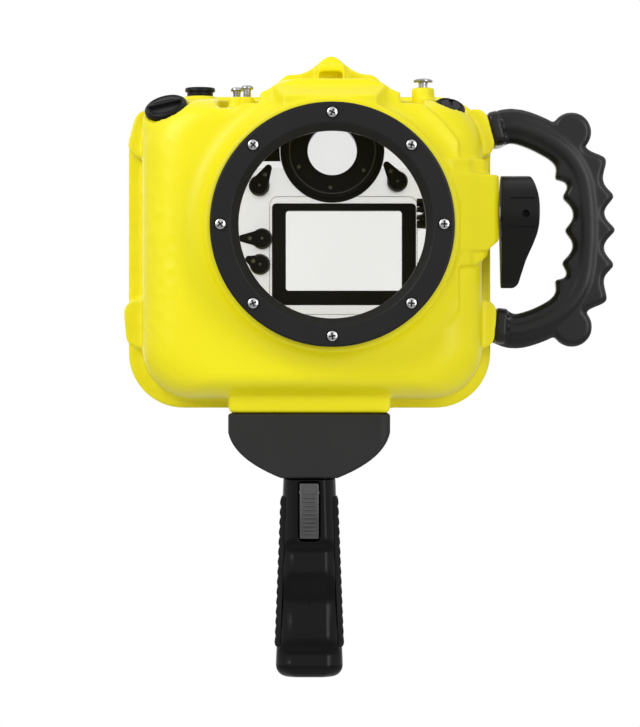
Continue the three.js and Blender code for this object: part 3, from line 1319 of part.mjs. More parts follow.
function zoomKnob() {
  const bottom = -KNOB_TAIL - KNOB_TAIL_RADIUS;
  const shoulder = KNOB_WIDTH * 0.78;
  const frontView = new THREE.Shape();
  frontView.moveTo(0, bottom);
  frontView.lineTo(KNOB_TAIL_WIDTH, bottom);
  frontView.bezierCurveTo(
    KNOB_TAIL_WIDTH * 1.4, -KNOB_TAIL, KNOB_WIDTH, -KNOB_DISC, KNOB_WIDTH, 0,
  );
  frontView.bezierCurveTo(
    KNOB_WIDTH, KNOB_DISC * 0.5, KNOB_WIDTH * 0.93, KNOB_DISC * 0.8, shoulder, KNOB_DISC,
  );
  frontView.lineTo(0, KNOB_DISC);
  const reach = KNOB_DISC + OVERRUN;
  const body = plateAlongX(knobOutline(), 0, KNOB_WIDTH, 10)
    .intersect(plateAlongY(frontView, -reach, reach, 6));
  const groove = turnedRing([
    [KNOB_HUB, KNOB_WIDTH * 0.9], [KNOB_HUB + KNOB_GROOVE, KNOB_WIDTH * 0.9],
    [KNOB_HUB + KNOB_GROOVE, KNOB_WIDTH + OVERRUN], [KNOB_HUB, KNOB_WIDTH + OVERRUN],
  ], ROUND_MEDIUM, RIGHT);
  const bore = drill(SHAFT_DIAMETER, -OVERRUN, KNOB_BORE_DEPTH + GAP, RIGHT);
  return carve(body, groove, bore);
}

// Bush pressed in from inside, with a rim against the wall
function knobBush() {
  const rim = BUSH_RADIUS + BUSH_WALL;
  const left = MOUTH_WIDTH * HALF - GAP;
  return turnedRing([
    [BUSH_BORE, left - BUSH_RIM], [rim, left - BUSH_RIM], [rim, left], [BUSH_RADIUS, left],
    [BUSH_RADIUS, GEARBOX_RIGHT], [BUSH_BORE, GEARBOX_RIGHT],
  ], ROUND_MEDIUM, RIGHT);
}

// Crown gear: a disc whose teeth stand on its left face
function crownGear() {
  const bore = SHAFT_DIAMETER * HALF + GAP;
  const disc = turnedRing([
    [bore, GEAR_TOOTH_HEIGHT], [GEAR_RADIUS, GEAR_TOOTH_HEIGHT],
    [GEAR_RADIUS, GEAR_TOOTH_HEIGHT + GEAR_DISC], [bore, GEAR_TOOTH_HEIGHT + GEAR_DISC],
  ], 2 * GEAR_TEETH, RIGHT);
  const pitch = (2 * Math.PI * GEAR_RADIUS) / GEAR_TEETH;
  const root = GEAR_TOOTH_HEIGHT + GEAR_DISC * HALF;
  const flank = outlineOf([
    [0, -pitch * 0.12], [0, pitch * 0.12], [root, pitch * 0.32], [root, -pitch * 0.32],
  ]);
  const inner = GEAR_RADIUS * 0.66;
  const teeth = Array.from({ length: GEAR_TEETH }, (_, k) => {
    const geometry = plate(flank, GEAR_RADIUS * 0.97 - inner, 1).translate(0, 0, inner);
    return solidOf(geometry.rotateX((2 * Math.PI * k) / GEAR_TEETH));
  });
  return fuse(disc, teeth);
}

const zoomControl = new THREE.Group();
zoomControl.position.set(0, KNOB_Y, KNOB_Z);
housing.add(zoomControl);
const knob = piece('zoom_knob', zoomKnob(), blackPlastic, zoomControl);
knob.position.x = KNOB_LEFT;
const gear = piece('crown_gear', crownGear(), blackPlastic, zoomControl);
gear.position.x = GEAR_LEFT;
piece('knob_shaft', rod(
  SHAFT_DIAMETER * HALF, GEAR_LEFT + GEAR_TOOTH_HEIGHT, KNOB_LEFT + KNOB_BORE_DEPTH, ROUND_SMALL, RIGHT,
), steel, zoomControl);
const bush = piece('knob_bush', knobBush(), anodised);
bush.position.copy(zoomControl.position);

// Push buttons on top

// Mushroom cap on a stem, with the cap's underside at height zero
function mushroom(cap, capHeight, stem, stemLength, sides = ROUND_MEDIUM) {
  const radius = cap * HALF;
  return turned([
    [stem * HALF, -stemLength], [stem * HALF, 0], [radius * 0.92, 0], [radius, capHeight * 0.25],
    [radius * 0.9, capHeight * 0.7], [radius * 0.6, capHeight],
  ], sides, UP);
}

function topButton(cap, stem, bossTop, stand) {
  const reach = bossTop - MOUTH_TOP + TOP_BUTTON_TAIL;
  return mushroom(cap, TOP_BUTTON_CAP_HEIGHT, stem, reach + stand, ROUND_SMALL);
}

PAIR.forEach(({ x, y }, k) => {
  const solid = topButton(PAIR_CAP_DIAMETER, PAIR_STEM, PAIR_BOSS_TOP, PAIR_STAND);
  piece(`top_button_${k + 1}`, solid, steel).position.set(x, y, PAIR_BOSS_TOP + PAIR_STAND);
});
const RIGHT_STAND = TOP_BUTTON_STROKE + GAP;
piece('top_button_3', topButton(RIGHT_CAP_DIAMETER, TOP_BUTTON_STEM, RIGHT_BOSS_TOP, RIGHT_STAND), steel)
  .position.set(RIGHT_BUTTON_X, RIGHT_BUTTON_Y, RIGHT_BOSS_TOP + RIGHT_STAND);

function shutterButton() {
  const reach = SHUTTER_BOSS_TOP - MOUTH_TOP + TOP_BUTTON_TAIL + SHUTTER_STROKE;
  return mushroom(SHUTTER_CAP_DIAMETER, SHUTTER_CAP_HEIGHT, SHUTTER_STEM, reach);
}

piece('shutter_button', shutterButton(), blackPlastic)
  .position.set(SHUTTER_X, SHUTTER_Y, SHUTTER_BOSS_TOP + SHUTTER_STROKE + GAP);

// Plugs at the upper corners

function plugSolid(diameter, withBar) {
  const radius = diameter * HALF;
  const body = turned([
    [diameter * PLUG_STEM_SHARE, -PLUG_STEM_LENGTH], [diameter * PLUG_STEM_SHARE, 0], [radius, 0],
    [radius, PLUG_HEIGHT * 0.7], [radius - PLUG_HEIGHT * 0.3, PLUG_HEIGHT],
  ], ROUND_MEDIUM, UP);
  if (withBar) {
    const bar = boxPlan(0, 0, radius * 1.6, PLUG_BAR_WIDTH, PLUG_HEIGHT * HALF,
      PLUG_HEIGHT + PLUG_BAR_HEIGHT, PLUG_BAR_WIDTH * 0.4);
    return fuse(body, bar);
  }
  const slot = boxPlan(0, radius * HALF, PLUG_SLOT_WIDTH, radius * 1.2, PLUG_HEIGHT - PLUG_SLOT_DEPTH,
    PLUG_HEIGHT + OVERRUN, GAP);
  return carve(body, slot);
}

function placePlug(name, frame, withBar) {
  const mesh = piece(name, plugSolid(frame.diameter, withBar), blackPlastic);
  aimMesh(mesh, frame.normal, frame.centre.clone().addScaledVector(frame.normal, GAP));
}

placePlug('left_plug', LEFT_PLUG, true);
placePlug('right_plug', RIGHT_PLUG, false);

// Camera tray and its screw

piece('camera_tray', carve(
  boxPlan(PORT_X, TRAY_Y, TRAY_WIDTH, TRAY_LENGTH, 0, TRAY_THICKNESS, TRAY_CORNER),
  drill(TRAY_SCREW_SHANK, -OVERRUN, TRAY_THICKNESS + OVERRUN, UP, new THREE.Vector3(PORT_X, TRAY_Y, 0)),
), anodised).position.z = MOUTH_BOTTOM + GAP;
const trayScrew = piece('tray_screw', socketScrew(
  TRAY_SCREW_SHANK, TRAY_SCREW_HEAD, TRAY_SCREW_HEAD_HEIGHT, TRAY_THICKNESS + TRAY_SCREW_REACH,
), steel);
trayScrew.position.set(PORT_X, TRAY_Y, MOUTH_BOTTOM + TRAY_THICKNESS + 2 * GAP);

// Back cover and what it carries

const cover = new THREE.Group();
housing.add(cover);

const keyPlace = ({ left, up }) => new THREE.Vector3(SCREEN_X - left, COVER_REAR, SCREEN_Z + up);

function backCover() {
  const keyBores = KEYS.map((key) => (
    drill(KEY_SHAFT, -COVER_THICKNESS - OVERRUN, OVERRUN, REARWARD, keyPlace(key))
  ));
  const screwBores = thumbScrewPlaces().map(({ x, z }) => (
    drill(THUMB_SHANK, COVER_FRONT - OVERRUN, COVER_REAR + OVERRUN, REARWARD, new THREE.Vector3(x, 0, z))
  ));
  const finderBore = rod(FINDER_TUBE * HALF + GAP, COVER_FRONT - OVERRUN, COVER_REAR + OVERRUN,
    ROUND_MEDIUM * 1.5, REARWARD, new THREE.Vector3(FINDER_X, 0, FINDER_Z));
  return carve(flangePlate(COVER_FRONT, COVER_REAR), keyBores, screwBores, finderBore);
}

const screenWindow = (grow) => roundedOutline(
  SCREEN_X - SCREEN_WIDTH * HALF - grow, SCREEN_X + SCREEN_WIDTH * HALF + grow,
  SCREEN_Z - SCREEN_HEIGHT * HALF - grow, SCREEN_Z + SCREEN_HEIGHT * HALF + grow, SCREEN_CORNER,
);

function screenMask() {
  const left = SCREEN_X - SCREEN_WIDTH * HALF - MASK_LEFT;
  const right = SCREEN_X + SCREEN_WIDTH * HALF + MASK_RIGHT;
  const bottom = SCREEN_Z - SCREEN_HEIGHT * HALF - MASK_BELOW;
  const top = FINDER_Z - FINDER_FLANGE * HALF - GAP;
  const outline = roundedOutline(left, right, bottom, top, SCREEN_CORNER);
  return carve(
    plateAlongY(outline, COVER_FRONT - GAP - MASK_THICKNESS, COVER_FRONT - GAP, 2),
    plateAlongY(screenWindow(0), COVER_FRONT - GAP - MASK_THICKNESS - OVERRUN, COVER_FRONT + OVERRUN, 2),
  );
}

// Label sheet on the outside, with the screen left open
function controlPanel() {
  const left = SCREEN_X - PANEL_LEFT;
  const right = SCREEN_X + PANEL_RIGHT;
  const wide = roundedOutline(
    left, right + PANEL_EAR, SCREEN_Z + PANEL_EAR_Z, SCREEN_Z + PANEL_UP, PANEL_CORNER,
  );
  const low = roundedOutline(left, right, SCREEN_Z - PANEL_DOWN, SCREEN_Z + PANEL_UP, PANEL_CORNER);
  const front = COVER_REAR + GAP;
  const sheet = fuse(plateAlongY(low, front, PANEL_REAR, 2), plateAlongY(wide, front, PANEL_REAR, 2));
  const keyBores = KEYS.map((key) => (
    drill(KEY_SHAFT + GAP, -OVERRUN, PANEL_THICKNESS + OVERRUN, REARWARD, keyPlace(key))
  ));
  const finder = rod(CUP_RADIUS + OVERRUN, COVER_REAR, PANEL_REAR + OVERRUN, ROUND_MEDIUM, REARWARD,
    new THREE.Vector3(FINDER_X, 0, FINDER_Z));
  return carve(sheet, keyBores, finder, plateAlongY(screenWindow(0), COVER_REAR, PANEL_REAR + OVERRUN, 2));
}

function finderRing() {
  const centre = new THREE.Vector3(FINDER_X, COVER_FRONT, FINDER_Z);
  const seat = COVER_THICKNESS - FINDER_WINDOW_THICKNESS;
  const tube = FINDER_TUBE * HALF;
  return turnedRing([
    [FINDER_APERTURE * HALF, -FINDER_FLANGE_THICKNESS],
    [FINDER_FLANGE * HALF, -FINDER_FLANGE_THICKNESS],
    [FINDER_FLANGE * HALF, -GAP],
    [tube, -GAP],
    [tube, COVER_THICKNESS],
    [FINDER_WINDOW * HALF + GAP, COVER_THICKNESS],
    [FINDER_WINDOW * HALF + GAP, seat],
    [FINDER_APERTURE * HALF, seat],
  ], ROUND_MEDIUM * 1.5, REARWARD, centre);
}

function finderCup() {
  const centre = new THREE.Vector3(FINDER_X, COVER_REAR + GAP, FINDER_Z);
  return turnedRing([
    [CUP_RADIUS - CUP_WALL, 0], [CUP_RADIUS, 0], [CUP_RADIUS, CUP_HEIGHT * 0.7],
    [CUP_RADIUS - CUP_WALL * HALF, CUP_HEIGHT], [CUP_RADIUS - CUP_WALL, CUP_HEIGHT],
  ], ROUND_MEDIUM, REARWARD, centre);
}

function softPad() {
  const outline = roundedOutline(
    FINDER_X - PAD_SOFT_LEFT, FINDER_X, FINDER_Z - PAD_SOFT_BELOW, FINDER_Z + PAD_SOFT_ABOVE,
    PAD_SOFT_THICKNESS,
  );
  const rear = COVER_FRONT - GAP;
  const room = rod(FINDER_FLANGE * HALF + GAP, rear - PAD_SOFT_THICKNESS - OVERRUN, rear + OVERRUN,
    ROUND_MEDIUM * 1.5, REARWARD, new THREE.Vector3(FINDER_X, 0, FINDER_Z));
  const sheet = plateAlongY(outline, rear - PAD_SOFT_THICKNESS, rear, 3);
  return largest(carve(sheet, room));
}

piece('back_cover', backCover(), clear, cover);
piece('camera_pad', softPad(), rubber, cover);
piece('screen_mask', screenMask(), blackPlastic, cover);
piece('control_panel', controlPanel(), labelGrey, cover);
piece('viewfinder_ring', finderRing(), blackPlastic, cover);
piece('viewfinder_window', rod(
  FINDER_WINDOW * HALF, COVER_REAR - FINDER_WINDOW_THICKNESS + GAP, COVER_REAR, ROUND_MEDIUM, REARWARD,
  new THREE.Vector3(FINDER_X, 0, FINDER_Z),
), clear, cover);
piece('viewfinder_cup', finderCup(), rubber, cover);

// Push button through the cover: its cap stands off by the stroke
function keySolid() {
  const inside = COVER_THICKNESS + LEVER_BELOW_COVER + LEVER_THICKNESS + MASK_THICKNESS;
  const stand = PANEL_REAR - COVER_REAR + KEY_STROKE + GAP;
  return mushroom(KEY_CAP, KEY_CAP_HEIGHT, KEY_SHAFT, inside + stand, ROUND_SMALL)
    .translate([0, 0, stand]);
}

// Lever on the inner end: a hub that tapers to a round tip, drawn along +X
function leverSolid(reach) {
  const lean = Math.acos((LEVER_HUB - LEVER_TIP) * HALF / reach);
  const shape = new THREE.Shape();
  shape.absarc(0, 0, LEVER_HUB * HALF, lean, 2 * Math.PI - lean);
  shape.absarc(reach, 0, LEVER_TIP * HALF, -lean, lean);
  const bore = drill(KEY_SHAFT, -OVERRUN, LEVER_THICKNESS + OVERRUN, UP);
  return carve(plateAlongZ(shape, 0, LEVER_THICKNESS, 3), bore);
}

KEYS.forEach((key, k) => {
  const button = new THREE.Group();
  button.position.copy(keyPlace(key));
  cover.add(button);
  const cap = piece(`rear_button_${k + 1}`, keySolid(), blackPlastic, button);
  cap.quaternion.setFromUnitVectors(UP, REARWARD);
  const lever = piece(`button_lever_${k + 1}`, leverSolid(key.reach), blackPlastic, button);
  const turn = THREE.MathUtils.degToRad(key.turn);
  lever.setRotationFromMatrix(new THREE.Matrix4().makeRotationY(-turn).multiply(
    new THREE.Matrix4().makeRotationX(Math.PI / 2),
  ));
  lever.position.y = -COVER_THICKNESS - LEVER_BELOW_COVER - MASK_THICKNESS;
});

// Captive thumb screw: a head with round lobes over a collar and a shank
function thumbScrew() {
  const radius = THUMB_HEAD * HALF;
  const lobeSteps = 3;
  const outline = Array.from({ length: THUMB_LOBES * lobeSteps }, (_, step) => {
    const angle = (2 * Math.PI * step) / (THUMB_LOBES * lobeSteps);
    const dip = step % lobeSteps === 0 ? THUMB_GROOVE : 0;
    return [(radius - dip) * Math.cos(angle), (radius - dip) * Math.sin(angle)];
  });
  const head = plateAlongZ(outlineOf(outline), THUMB_COLLAR_HEIGHT, THUMB_HEAD_HEIGHT, 1);
  const stem = turned([
    [THUMB_SHANK * HALF, -COVER_THICKNESS - THUMB_THREAD - GAP],
    [THUMB_SHANK * HALF, 0],
    [THUMB_COLLAR * HALF, 0],
    [THUMB_COLLAR * HALF, THUMB_HEAD_HEIGHT * HALF],
  ], ROUND_SCREW, UP);
  return fuse(head, stem);
}

thumbScrewPlaces().forEach(({ x, z }, k) => {
  const mesh = piece(`thumb_screw_${k + 1}`, thumbScrew(), steel, cover);
  aimMesh(mesh, REARWARD, new THREE.Vector3(x, COVER_REAR + GAP, z));
});

export default housing;
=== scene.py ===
import math

import bmesh
import bpy
from mathutils import Matrix, Vector


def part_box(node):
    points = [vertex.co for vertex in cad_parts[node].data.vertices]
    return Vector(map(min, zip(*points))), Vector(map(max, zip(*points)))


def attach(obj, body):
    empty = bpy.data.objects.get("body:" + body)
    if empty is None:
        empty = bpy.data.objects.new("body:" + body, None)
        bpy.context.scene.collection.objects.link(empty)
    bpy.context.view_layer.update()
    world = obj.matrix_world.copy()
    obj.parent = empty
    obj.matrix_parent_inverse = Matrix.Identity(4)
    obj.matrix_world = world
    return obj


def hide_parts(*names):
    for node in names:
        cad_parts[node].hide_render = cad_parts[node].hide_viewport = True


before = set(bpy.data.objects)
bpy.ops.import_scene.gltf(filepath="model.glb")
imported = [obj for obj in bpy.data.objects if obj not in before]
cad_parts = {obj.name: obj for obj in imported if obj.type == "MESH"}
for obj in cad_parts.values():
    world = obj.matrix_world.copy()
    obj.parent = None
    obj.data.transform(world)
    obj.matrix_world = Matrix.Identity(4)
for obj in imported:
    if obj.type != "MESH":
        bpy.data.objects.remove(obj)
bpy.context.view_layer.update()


# Camera and studio
# A long lens looks along +Y at a little under the middle of the body. The room is a plain
# white sweep with large soft lamps, as for a catalogue picture.

MM = 0.001
CAMERA_X = 5.7
CAMERA_DISTANCE = 1858
CAMERA_HEIGHT = 113.8
CAMERA_LENS = 171.4
SENSOR = 36
VIEW_END = 24000
FLOOR_SIZE = 6000
FLOOR_WHITE = 0.9
FLOOR_ROUGHNESS = 0.9
FLOOR_Z = -800
ROOM_LIGHT = 0.42
LAMP_AIM = (0, 0, 150)
LAMPS = {
    "key_lamp": {"place": (-950, -900, 900), "size": (700, 900), "power": 11.2},
    "fill_lamp": {"place": (900, -1200, 420), "size": (600, 1100), "power": 7.8},
    "top_lamp": {"place": (0, 100, 1300), "size": (1100, 900), "power": 1.8},
    "rear_lamp": {"place": (-200, 1200, 500), "size": (1200, 1200), "power": 4},
}


def metres(place):
    """Point in metres from one in millimetres."""
    return Vector(place) * MM


camera = bpy.data.objects.new("camera", bpy.data.cameras.new("camera"))
camera.data.lens = CAMERA_LENS
camera.data.sensor_width = SENSOR
camera.data.clip_end = VIEW_END * MM
camera.location = metres((CAMERA_X, -CAMERA_DISTANCE, CAMERA_HEIGHT))
camera.rotation_euler = (math.pi / 2, 0, 0)
bpy.context.scene.collection.objects.link(camera)
bpy.context.scene.camera = camera
bpy.context.scene.view_settings.view_transform = "Standard"

for lamp_name, lamp in LAMPS.items():
    light = bpy.data.lights.new(lamp_name, "AREA")
    light.shape = "RECTANGLE"
    light.size, light.size_y = (side * MM for side in lamp["size"])
    light.energy = lamp["power"]
    holder = bpy.data.objects.new(lamp_name, light)
    holder.location = metres(lamp["place"])
    aim = metres(LAMP_AIM) - holder.location
    holder.rotation_euler = aim.to_track_quat("-Z", "Y").to_euler()
    bpy.context.scene.collection.objects.link(holder)


class Wire:
    """An output of a node. Arithmetic on wires adds the Math nodes for it."""

    def __init__(self, finish, socket):
        self.finish = finish
        self.socket = socket

    def math(self, operation, *values):
        inputs = dict(enumerate(values))
        return self.finish.node("ShaderNodeMath", {"operation": operation}, inputs)

    def __add__(self, other):
        return self.math("ADD", self, other)

    def __mul__(self, other):
        return self.math("MULTIPLY", self, other)

    def __gt__(self, other):
        return self.math("GREATER_THAN", self, other)

    __radd__ = __add__


class Finish:
    """A material in the making: its node tree, and one way to add a node to it."""

    def __init__(self, name, world=None):
        self.owner = world or bpy.data.materials.new(name)
        self.owner.use_nodes = True
        self.tree = self.owner.node_tree

    def node(self, kind, settings, inputs, output=0):
        made = self.tree.nodes.new(kind)
        for name, value in settings.items():
            setattr(made, name, value)
        for name, value in inputs.items():
            self.feed(made.inputs[name], value)
        return Wire(self, made.outputs[output])

    def feed(self, socket, value):
        if isinstance(value, Wire):
            self.tree.links.new(value.socket, socket)
        else:
            socket.default_value = value

    def surface(self, fixed, **varied):
        """Sets the shader: fixed values on its sockets, and links for what changes."""
        shader = next(n for n in self.tree.nodes if n.type == "BSDF_PRINCIPLED")
        for name, value in fixed.items():
            shader.inputs[name].default_value = value
        for name, value in varied.items():
            self.feed(shader.inputs[name.replace("_", " ")], value)
        return self.owner

    def place(self):
        return self.node("ShaderNodeTexCoord", {}, {}, "Object")

    def noise(self, size, detail=3.0, place=None):
        """Noise whose lumps are about this many millimetres across."""
        inputs = {"Vector": place or self.place(), "Scale": 1 / (size * MM), "Detail": detail}
        return self.node("ShaderNodeTexNoise", {}, inputs, "Fac")

    def mix(self, share, low, high):
        """Colour that runs from low to high."""
        inputs = {"Factor": share, 6: (*low, 1), 7: (*high, 1)}
        return self.node("ShaderNodeMix", {"data_type": "RGBA"}, inputs, 2)

    def bump(self, height, depth, strength=1.0, under=None):
        """Normal from a height map, whose full range is this many millimetres."""
        inputs = {"Height": height, "Distance": depth * MM, "Strength": strength}
        if under is not None:
            inputs["Normal"] = under
        return self.node("ShaderNodeBump", {}, inputs)


def seen_share(finish):
    """One where the camera, glass or metal sees a surface, and nought where it only lights."""
    seen = [
        finish.node("ShaderNodeLightPath", {}, {}, ray)
        for ray in ("Is Camera Ray", "Is Glossy Ray", "Is Transmission Ray")
    ]
    total = seen[0] + seen[1] + seen[2]
    return total.math("MINIMUM", total, 1.0)


room = bpy.data.worlds.new("room")
bpy.context.scene.world = room
room_finish = Finish("room", room)
room_shade = room.node_tree.nodes["Background"]
room_shade.inputs["Color"].default_value = (1, 1, 1, 1)
room_light = ROOM_LIGHT + seen_share(room_finish) * (1 - ROOM_LIGHT)
room_finish.feed(room_shade.inputs["Strength"], room_light)


def floor_material():
    """Matt white sheet that reads as white and still shows the shadow."""
    finish = Finish("white_floor")
    return finish.surface({"Base Color": (FLOOR_WHITE,) * 3 + (1,), "Roughness": FLOOR_ROUGHNESS})


floor_mesh = bmesh.new()
bmesh.ops.create_grid(floor_mesh, x_segments=1, y_segments=1, size=FLOOR_SIZE * MM)
floor_data = bpy.data.meshes.new("floor")
floor_mesh.to_mesh(floor_data)
floor_mesh.free()
floor = bpy.data.objects.new("floor", floor_data)
floor.location.z = FLOOR_Z * MM
floor_data.materials.append(floor_material())
bpy.context.scene.collection.objects.link(floor)


# Moulded body
# One thick-walled yellow moulding: a rounded box with a flange at the rear, a prism hump, a
# collar for the port, a block for the knob and pads for handles, all run together by fillets.

FORWARD = Vector((0, -1, 0))
REARWARD = Vector((0, 1, 0))
RIGHT = Vector((1, 0, 0))
UP = Vector((0, 0, 1))
ALONG_X, ALONG_Y, ALONG_Z = range(3)
CUT = 1.5
MERGE = 0.0005


def span(node):
    """Lowest and highest corner of a CAD node, in millimetres."""
    low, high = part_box(node)
    return low / MM, high / MM


def moved(bm, matrix):
    """The mesh, carried by a matrix."""
    bmesh.ops.transform(bm, matrix=matrix, verts=bm.verts)
    return bm


def standing(direction, place, turn=0):
    """Matrix that stands a piece, made upright at the origin, on a place and along a direction."""
    lean = UP.rotation_difference(Vector(direction)).to_matrix().to_4x4()
    return Matrix.Translation(place) @ lean @ Matrix.Rotation(turn, 4, "Z")


def even_angles(count):
    """Even angles round a full turn."""
    return [2 * math.pi * k / count for k in range(count)]


def arc(radius, start, end, steps):
    """Points round a circle from one angle to another, both included."""
    angles = [start + (end - start) * step / steps for step in range(steps + 1)]
    return [(radius * math.cos(angle), radius * math.sin(angle)) for angle in angles]


def quarter_turn(steps):
    """Sine and one minus cosine at even steps of a quarter turn."""
    angles = [step / steps * math.pi / 2 for step in range(1, steps + 1)]
    return [(math.sin(angle), 1 - math.cos(angle)) for angle in angles]


def extruded(points, direction):
    """Closed solid: a face through the points, drawn out along a direction."""
    bm = bmesh.new()
    face = bm.faces.new([bm.verts.new(point) for point in points])
    grown = bmesh.ops.extrude_face_region(bm, geom=[face])
    far = [item for item in grown["geom"] if isinstance(item, bmesh.types.BMVert)]
    bmesh.ops.translate(bm, verts=far, vec=direction)
    bmesh.ops.recalc_face_normals(bm, faces=bm.faces)
    return bm


def slab(outline, front, rear):
    """Closed solid between two places along Y, from an outline in X and Z."""
    return extruded([(x, front, z) for x, z in outline], REARWARD * (rear - front))


def drawn_out(bm, face):
    """Face drawn out of another, which goes unless it closes the solid's start."""
    start = len(bm.faces) == 1
    grown = bmesh.ops.extrude_face_region(bm, geom=[face])
    if not start:
        bmesh.ops.delete(bm, geom=[face], context="FACES_ONLY")
    return next(item for item in grown["geom"] if isinstance(item, bmesh.types.BMFace))


def box(low, high):
    """Plain box between two corners."""
    low, high = Vector(low), Vector(high)
    bm = bmesh.new()
    bmesh.ops.create_cube(bm, size=1)
    bmesh.ops.scale(bm, vec=high - low, verts=bm.verts)
    bmesh.ops.translate(bm, vec=(high + low) / 2, verts=bm.verts)
    return bm


def round_edges(bm, chosen, radius, segments):
    """Rounds the edges that a test picks."""
    edges = [edge for edge in bm.edges if chosen(edge)]
    bmesh.ops.bevel(
        bm, geom=edges, offset=radius, offset_type="OFFSET", segments=segments,
        profile=0.5, affect="EDGES", clamp_overlap=True, material=-1,
    )
    return bm


def along(axis):
    """Test for edges that run along an axis, given by its number."""
    def test(edge):
        run = edge.verts[1].co - edge.verts[0].co
        return abs(run[axis]) > 0.99 * run.length
    return test


def sharper(degrees):
    """Test for edges whose faces turn by more than an angle."""
    limit = math.radians(degrees)
    return lambda edge: edge.is_manifold and edge.calc_face_angle() > limit


def rounded_box(low, high, axis, radius, segments=8):
    """Box whose four edges along an axis are rounded."""
    return round_edges(box(low, high), along(axis), radius, segments)


def turned(profile, centre=(0, 0, 0), direction=UP, steps=96):
    """Solid of revolution from pairs of radius and height; an open profile ends on the axis."""
    bm = bmesh.new()
    points = [bm.verts.new((radius, 0, height)) for radius, height in profile]
    closed = profile[0][0] > 0 or profile[-1][0] > 0
    followers = points[1:] + points[:1] if closed else points[1:]
    lines = [bm.edges.new(pair) for pair in zip(points, followers)]
    bmesh.ops.spin(
        bm, geom=points + lines, cent=(0, 0, 0), axis=UP, dvec=(0, 0, 0),
        angle=2 * math.pi, steps=steps, use_merge=True, use_duplicate=False,
    )
    bmesh.ops.remove_doubles(bm, verts=bm.verts, dist=MERGE)
    moved(bm, standing(direction, centre))
    bmesh.ops.recalc_face_normals(bm, faces=bm.faces)
    return bm


def rod(radius, low, high, centre=(0, 0, 0), direction=UP, steps=48):
    """Plain round bar between two heights along a direction."""
    return turned([(0, low), (radius, low), (radius, high), (0, high)], centre, direction, steps)


def holder_of(bm):
    """Object with the mesh of a bmesh, for modifiers to work on."""
    mesh = bpy.data.meshes.new("working")
    bm.to_mesh(mesh)
    bm.free()
    made = bpy.data.objects.new("working", mesh)
    bpy.context.scene.collection.objects.link(made)
    return made


def discard(made):
    """Removes a working object and its mesh."""
    mesh = made.data
    bpy.data.objects.remove(made)
    bpy.data.meshes.remove(mesh)


def settled(made):
    """The object's mesh with its modifiers applied, as a bmesh; the object goes."""
    bpy.context.view_layer.update()
    depsgraph = bpy.context.evaluated_depsgraph_get()
    result = bmesh.new()
    result.from_mesh(made.evaluated_get(depsgraph).to_mesh())
    discard(made)
    return result


def combined(base, tools, operation):
    """Exact boolean of a closed mesh with several others."""
    body = holder_of(base)
    group = bpy.data.collections.new("tools")
    held = [holder_of(tool) for tool in tools]
    for tool in held:
        group.objects.link(tool)
    cut = body.modifiers.new("cut", "BOOLEAN")
    cut.operation = operation
    cut.operand_type = "COLLECTION"
    cut.collection = group
    cut.solver = "EXACT"
    result = settled(body)
    for tool in held:
        discard(tool)
    bpy.data.collections.remove(group)
    return result


def moulded(bm, voxel, passes, share):
    """Runs the forms together as a mould does: even voxels, smoothing, then fewer faces."""
    body = holder_of(bm)
    grid = body.modifiers.new("grid", "REMESH")
    grid.mode = "VOXEL"
    grid.voxel_size = voxel
    ease = body.modifiers.new("ease", "SMOOTH")
    ease.factor = 0.5
    ease.iterations = passes
    thin = body.modifiers.new("thin", "DECIMATE")
    thin.ratio = share
    return settled(body)


def piece(name, bm, material, body, slot, *nodes, crease=40):
    """Finished piece in metres, on its CAD body, standing for CAD nodes."""
    bmesh.ops.scale(bm, vec=(MM, MM, MM), verts=bm.verts)
    mesh = bpy.data.meshes.new(name)
    bm.to_mesh(mesh)
    bm.free()
    mesh.shade_smooth()
    mesh.set_sharp_from_angle(angle=math.radians(crease))
    mesh.materials.append(material)
    made = bpy.data.objects.new(name, mesh)
    bpy.context.scene.collection.objects.link(made)
    even = made.modifiers.new("even_faces", "WEIGHTED_NORMAL")
    even.keep_sharp = True
    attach(made, body)
    if nodes:
        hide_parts(*nodes)
    return made


cover_low, cover_high = span("back_cover")
ring_low, ring_high = span("port_ring")
shell_low, shell_high = span("front_shell")
PORT_AXIS = Vector(((ring_low.x + ring_high.x) / 2, 0, (ring_low.z + ring_high.z) / 2))
FLANGE_HALF = cover_high.x
FLANGE_BOTTOM = cover_low.z
FLANGE_TOP = FLANGE_BOTTOM + 169.4
FLANGE_REAR = shell_high.y
FLANGE_FRONT = FLANGE_REAR - 12
FLANGE_CORNER = 30
BODY_HALF = 91
BODY_RIGHT = 94
BODY_BOTTOM = FLANGE_BOTTOM + 4.4
BODY_TOP = FLANGE_TOP - 2.2
BODY_CORNER = 27
BODY_FRONT = FLANGE_REAR - 74
BODY_WALL = 5
BODY_OVERLAP = 6
BODY_DRAFT = 2.2
SIDE_ROUND = 24
SILL_ROUND = 12
FRONT_ROUND = 22
MOUTH_HALF = 84
MOUTH_BOTTOM = 104
MOUTH_TOP = 249
MOUTH_CORNER = 34
HUMP_X = 11
HUMP_HALF = 37
HUMP_TOP = 271
HUMP_DROP = 7
HUMP_CREST = HUMP_TOP - HUMP_DROP
HUMP_SHOULDER = 15
HUMP_WALL = 10.6
HUMP_STEPS = 48
HUMP_FOOT = FLANGE_REAR - 86
CREST_FRONT = FLANGE_REAR - 60
HUMP_PLAN_SHARES = [(1, FLANGE_REAR), (1, CREST_FRONT + 8), (0.8, -34), (0.62, HUMP_FOOT - CUT)]
PEAK_X = 11.7
PEAK_RISE = 10.2
PEAK_SPREAD = 10
TURRET_RADIUS = 67
TURRET_HEIGHT = 14
TURRET_FILLET = 13
TURRET_SINK = 6
PORT_BORE = 51.4
PORT_BORE_END = 60


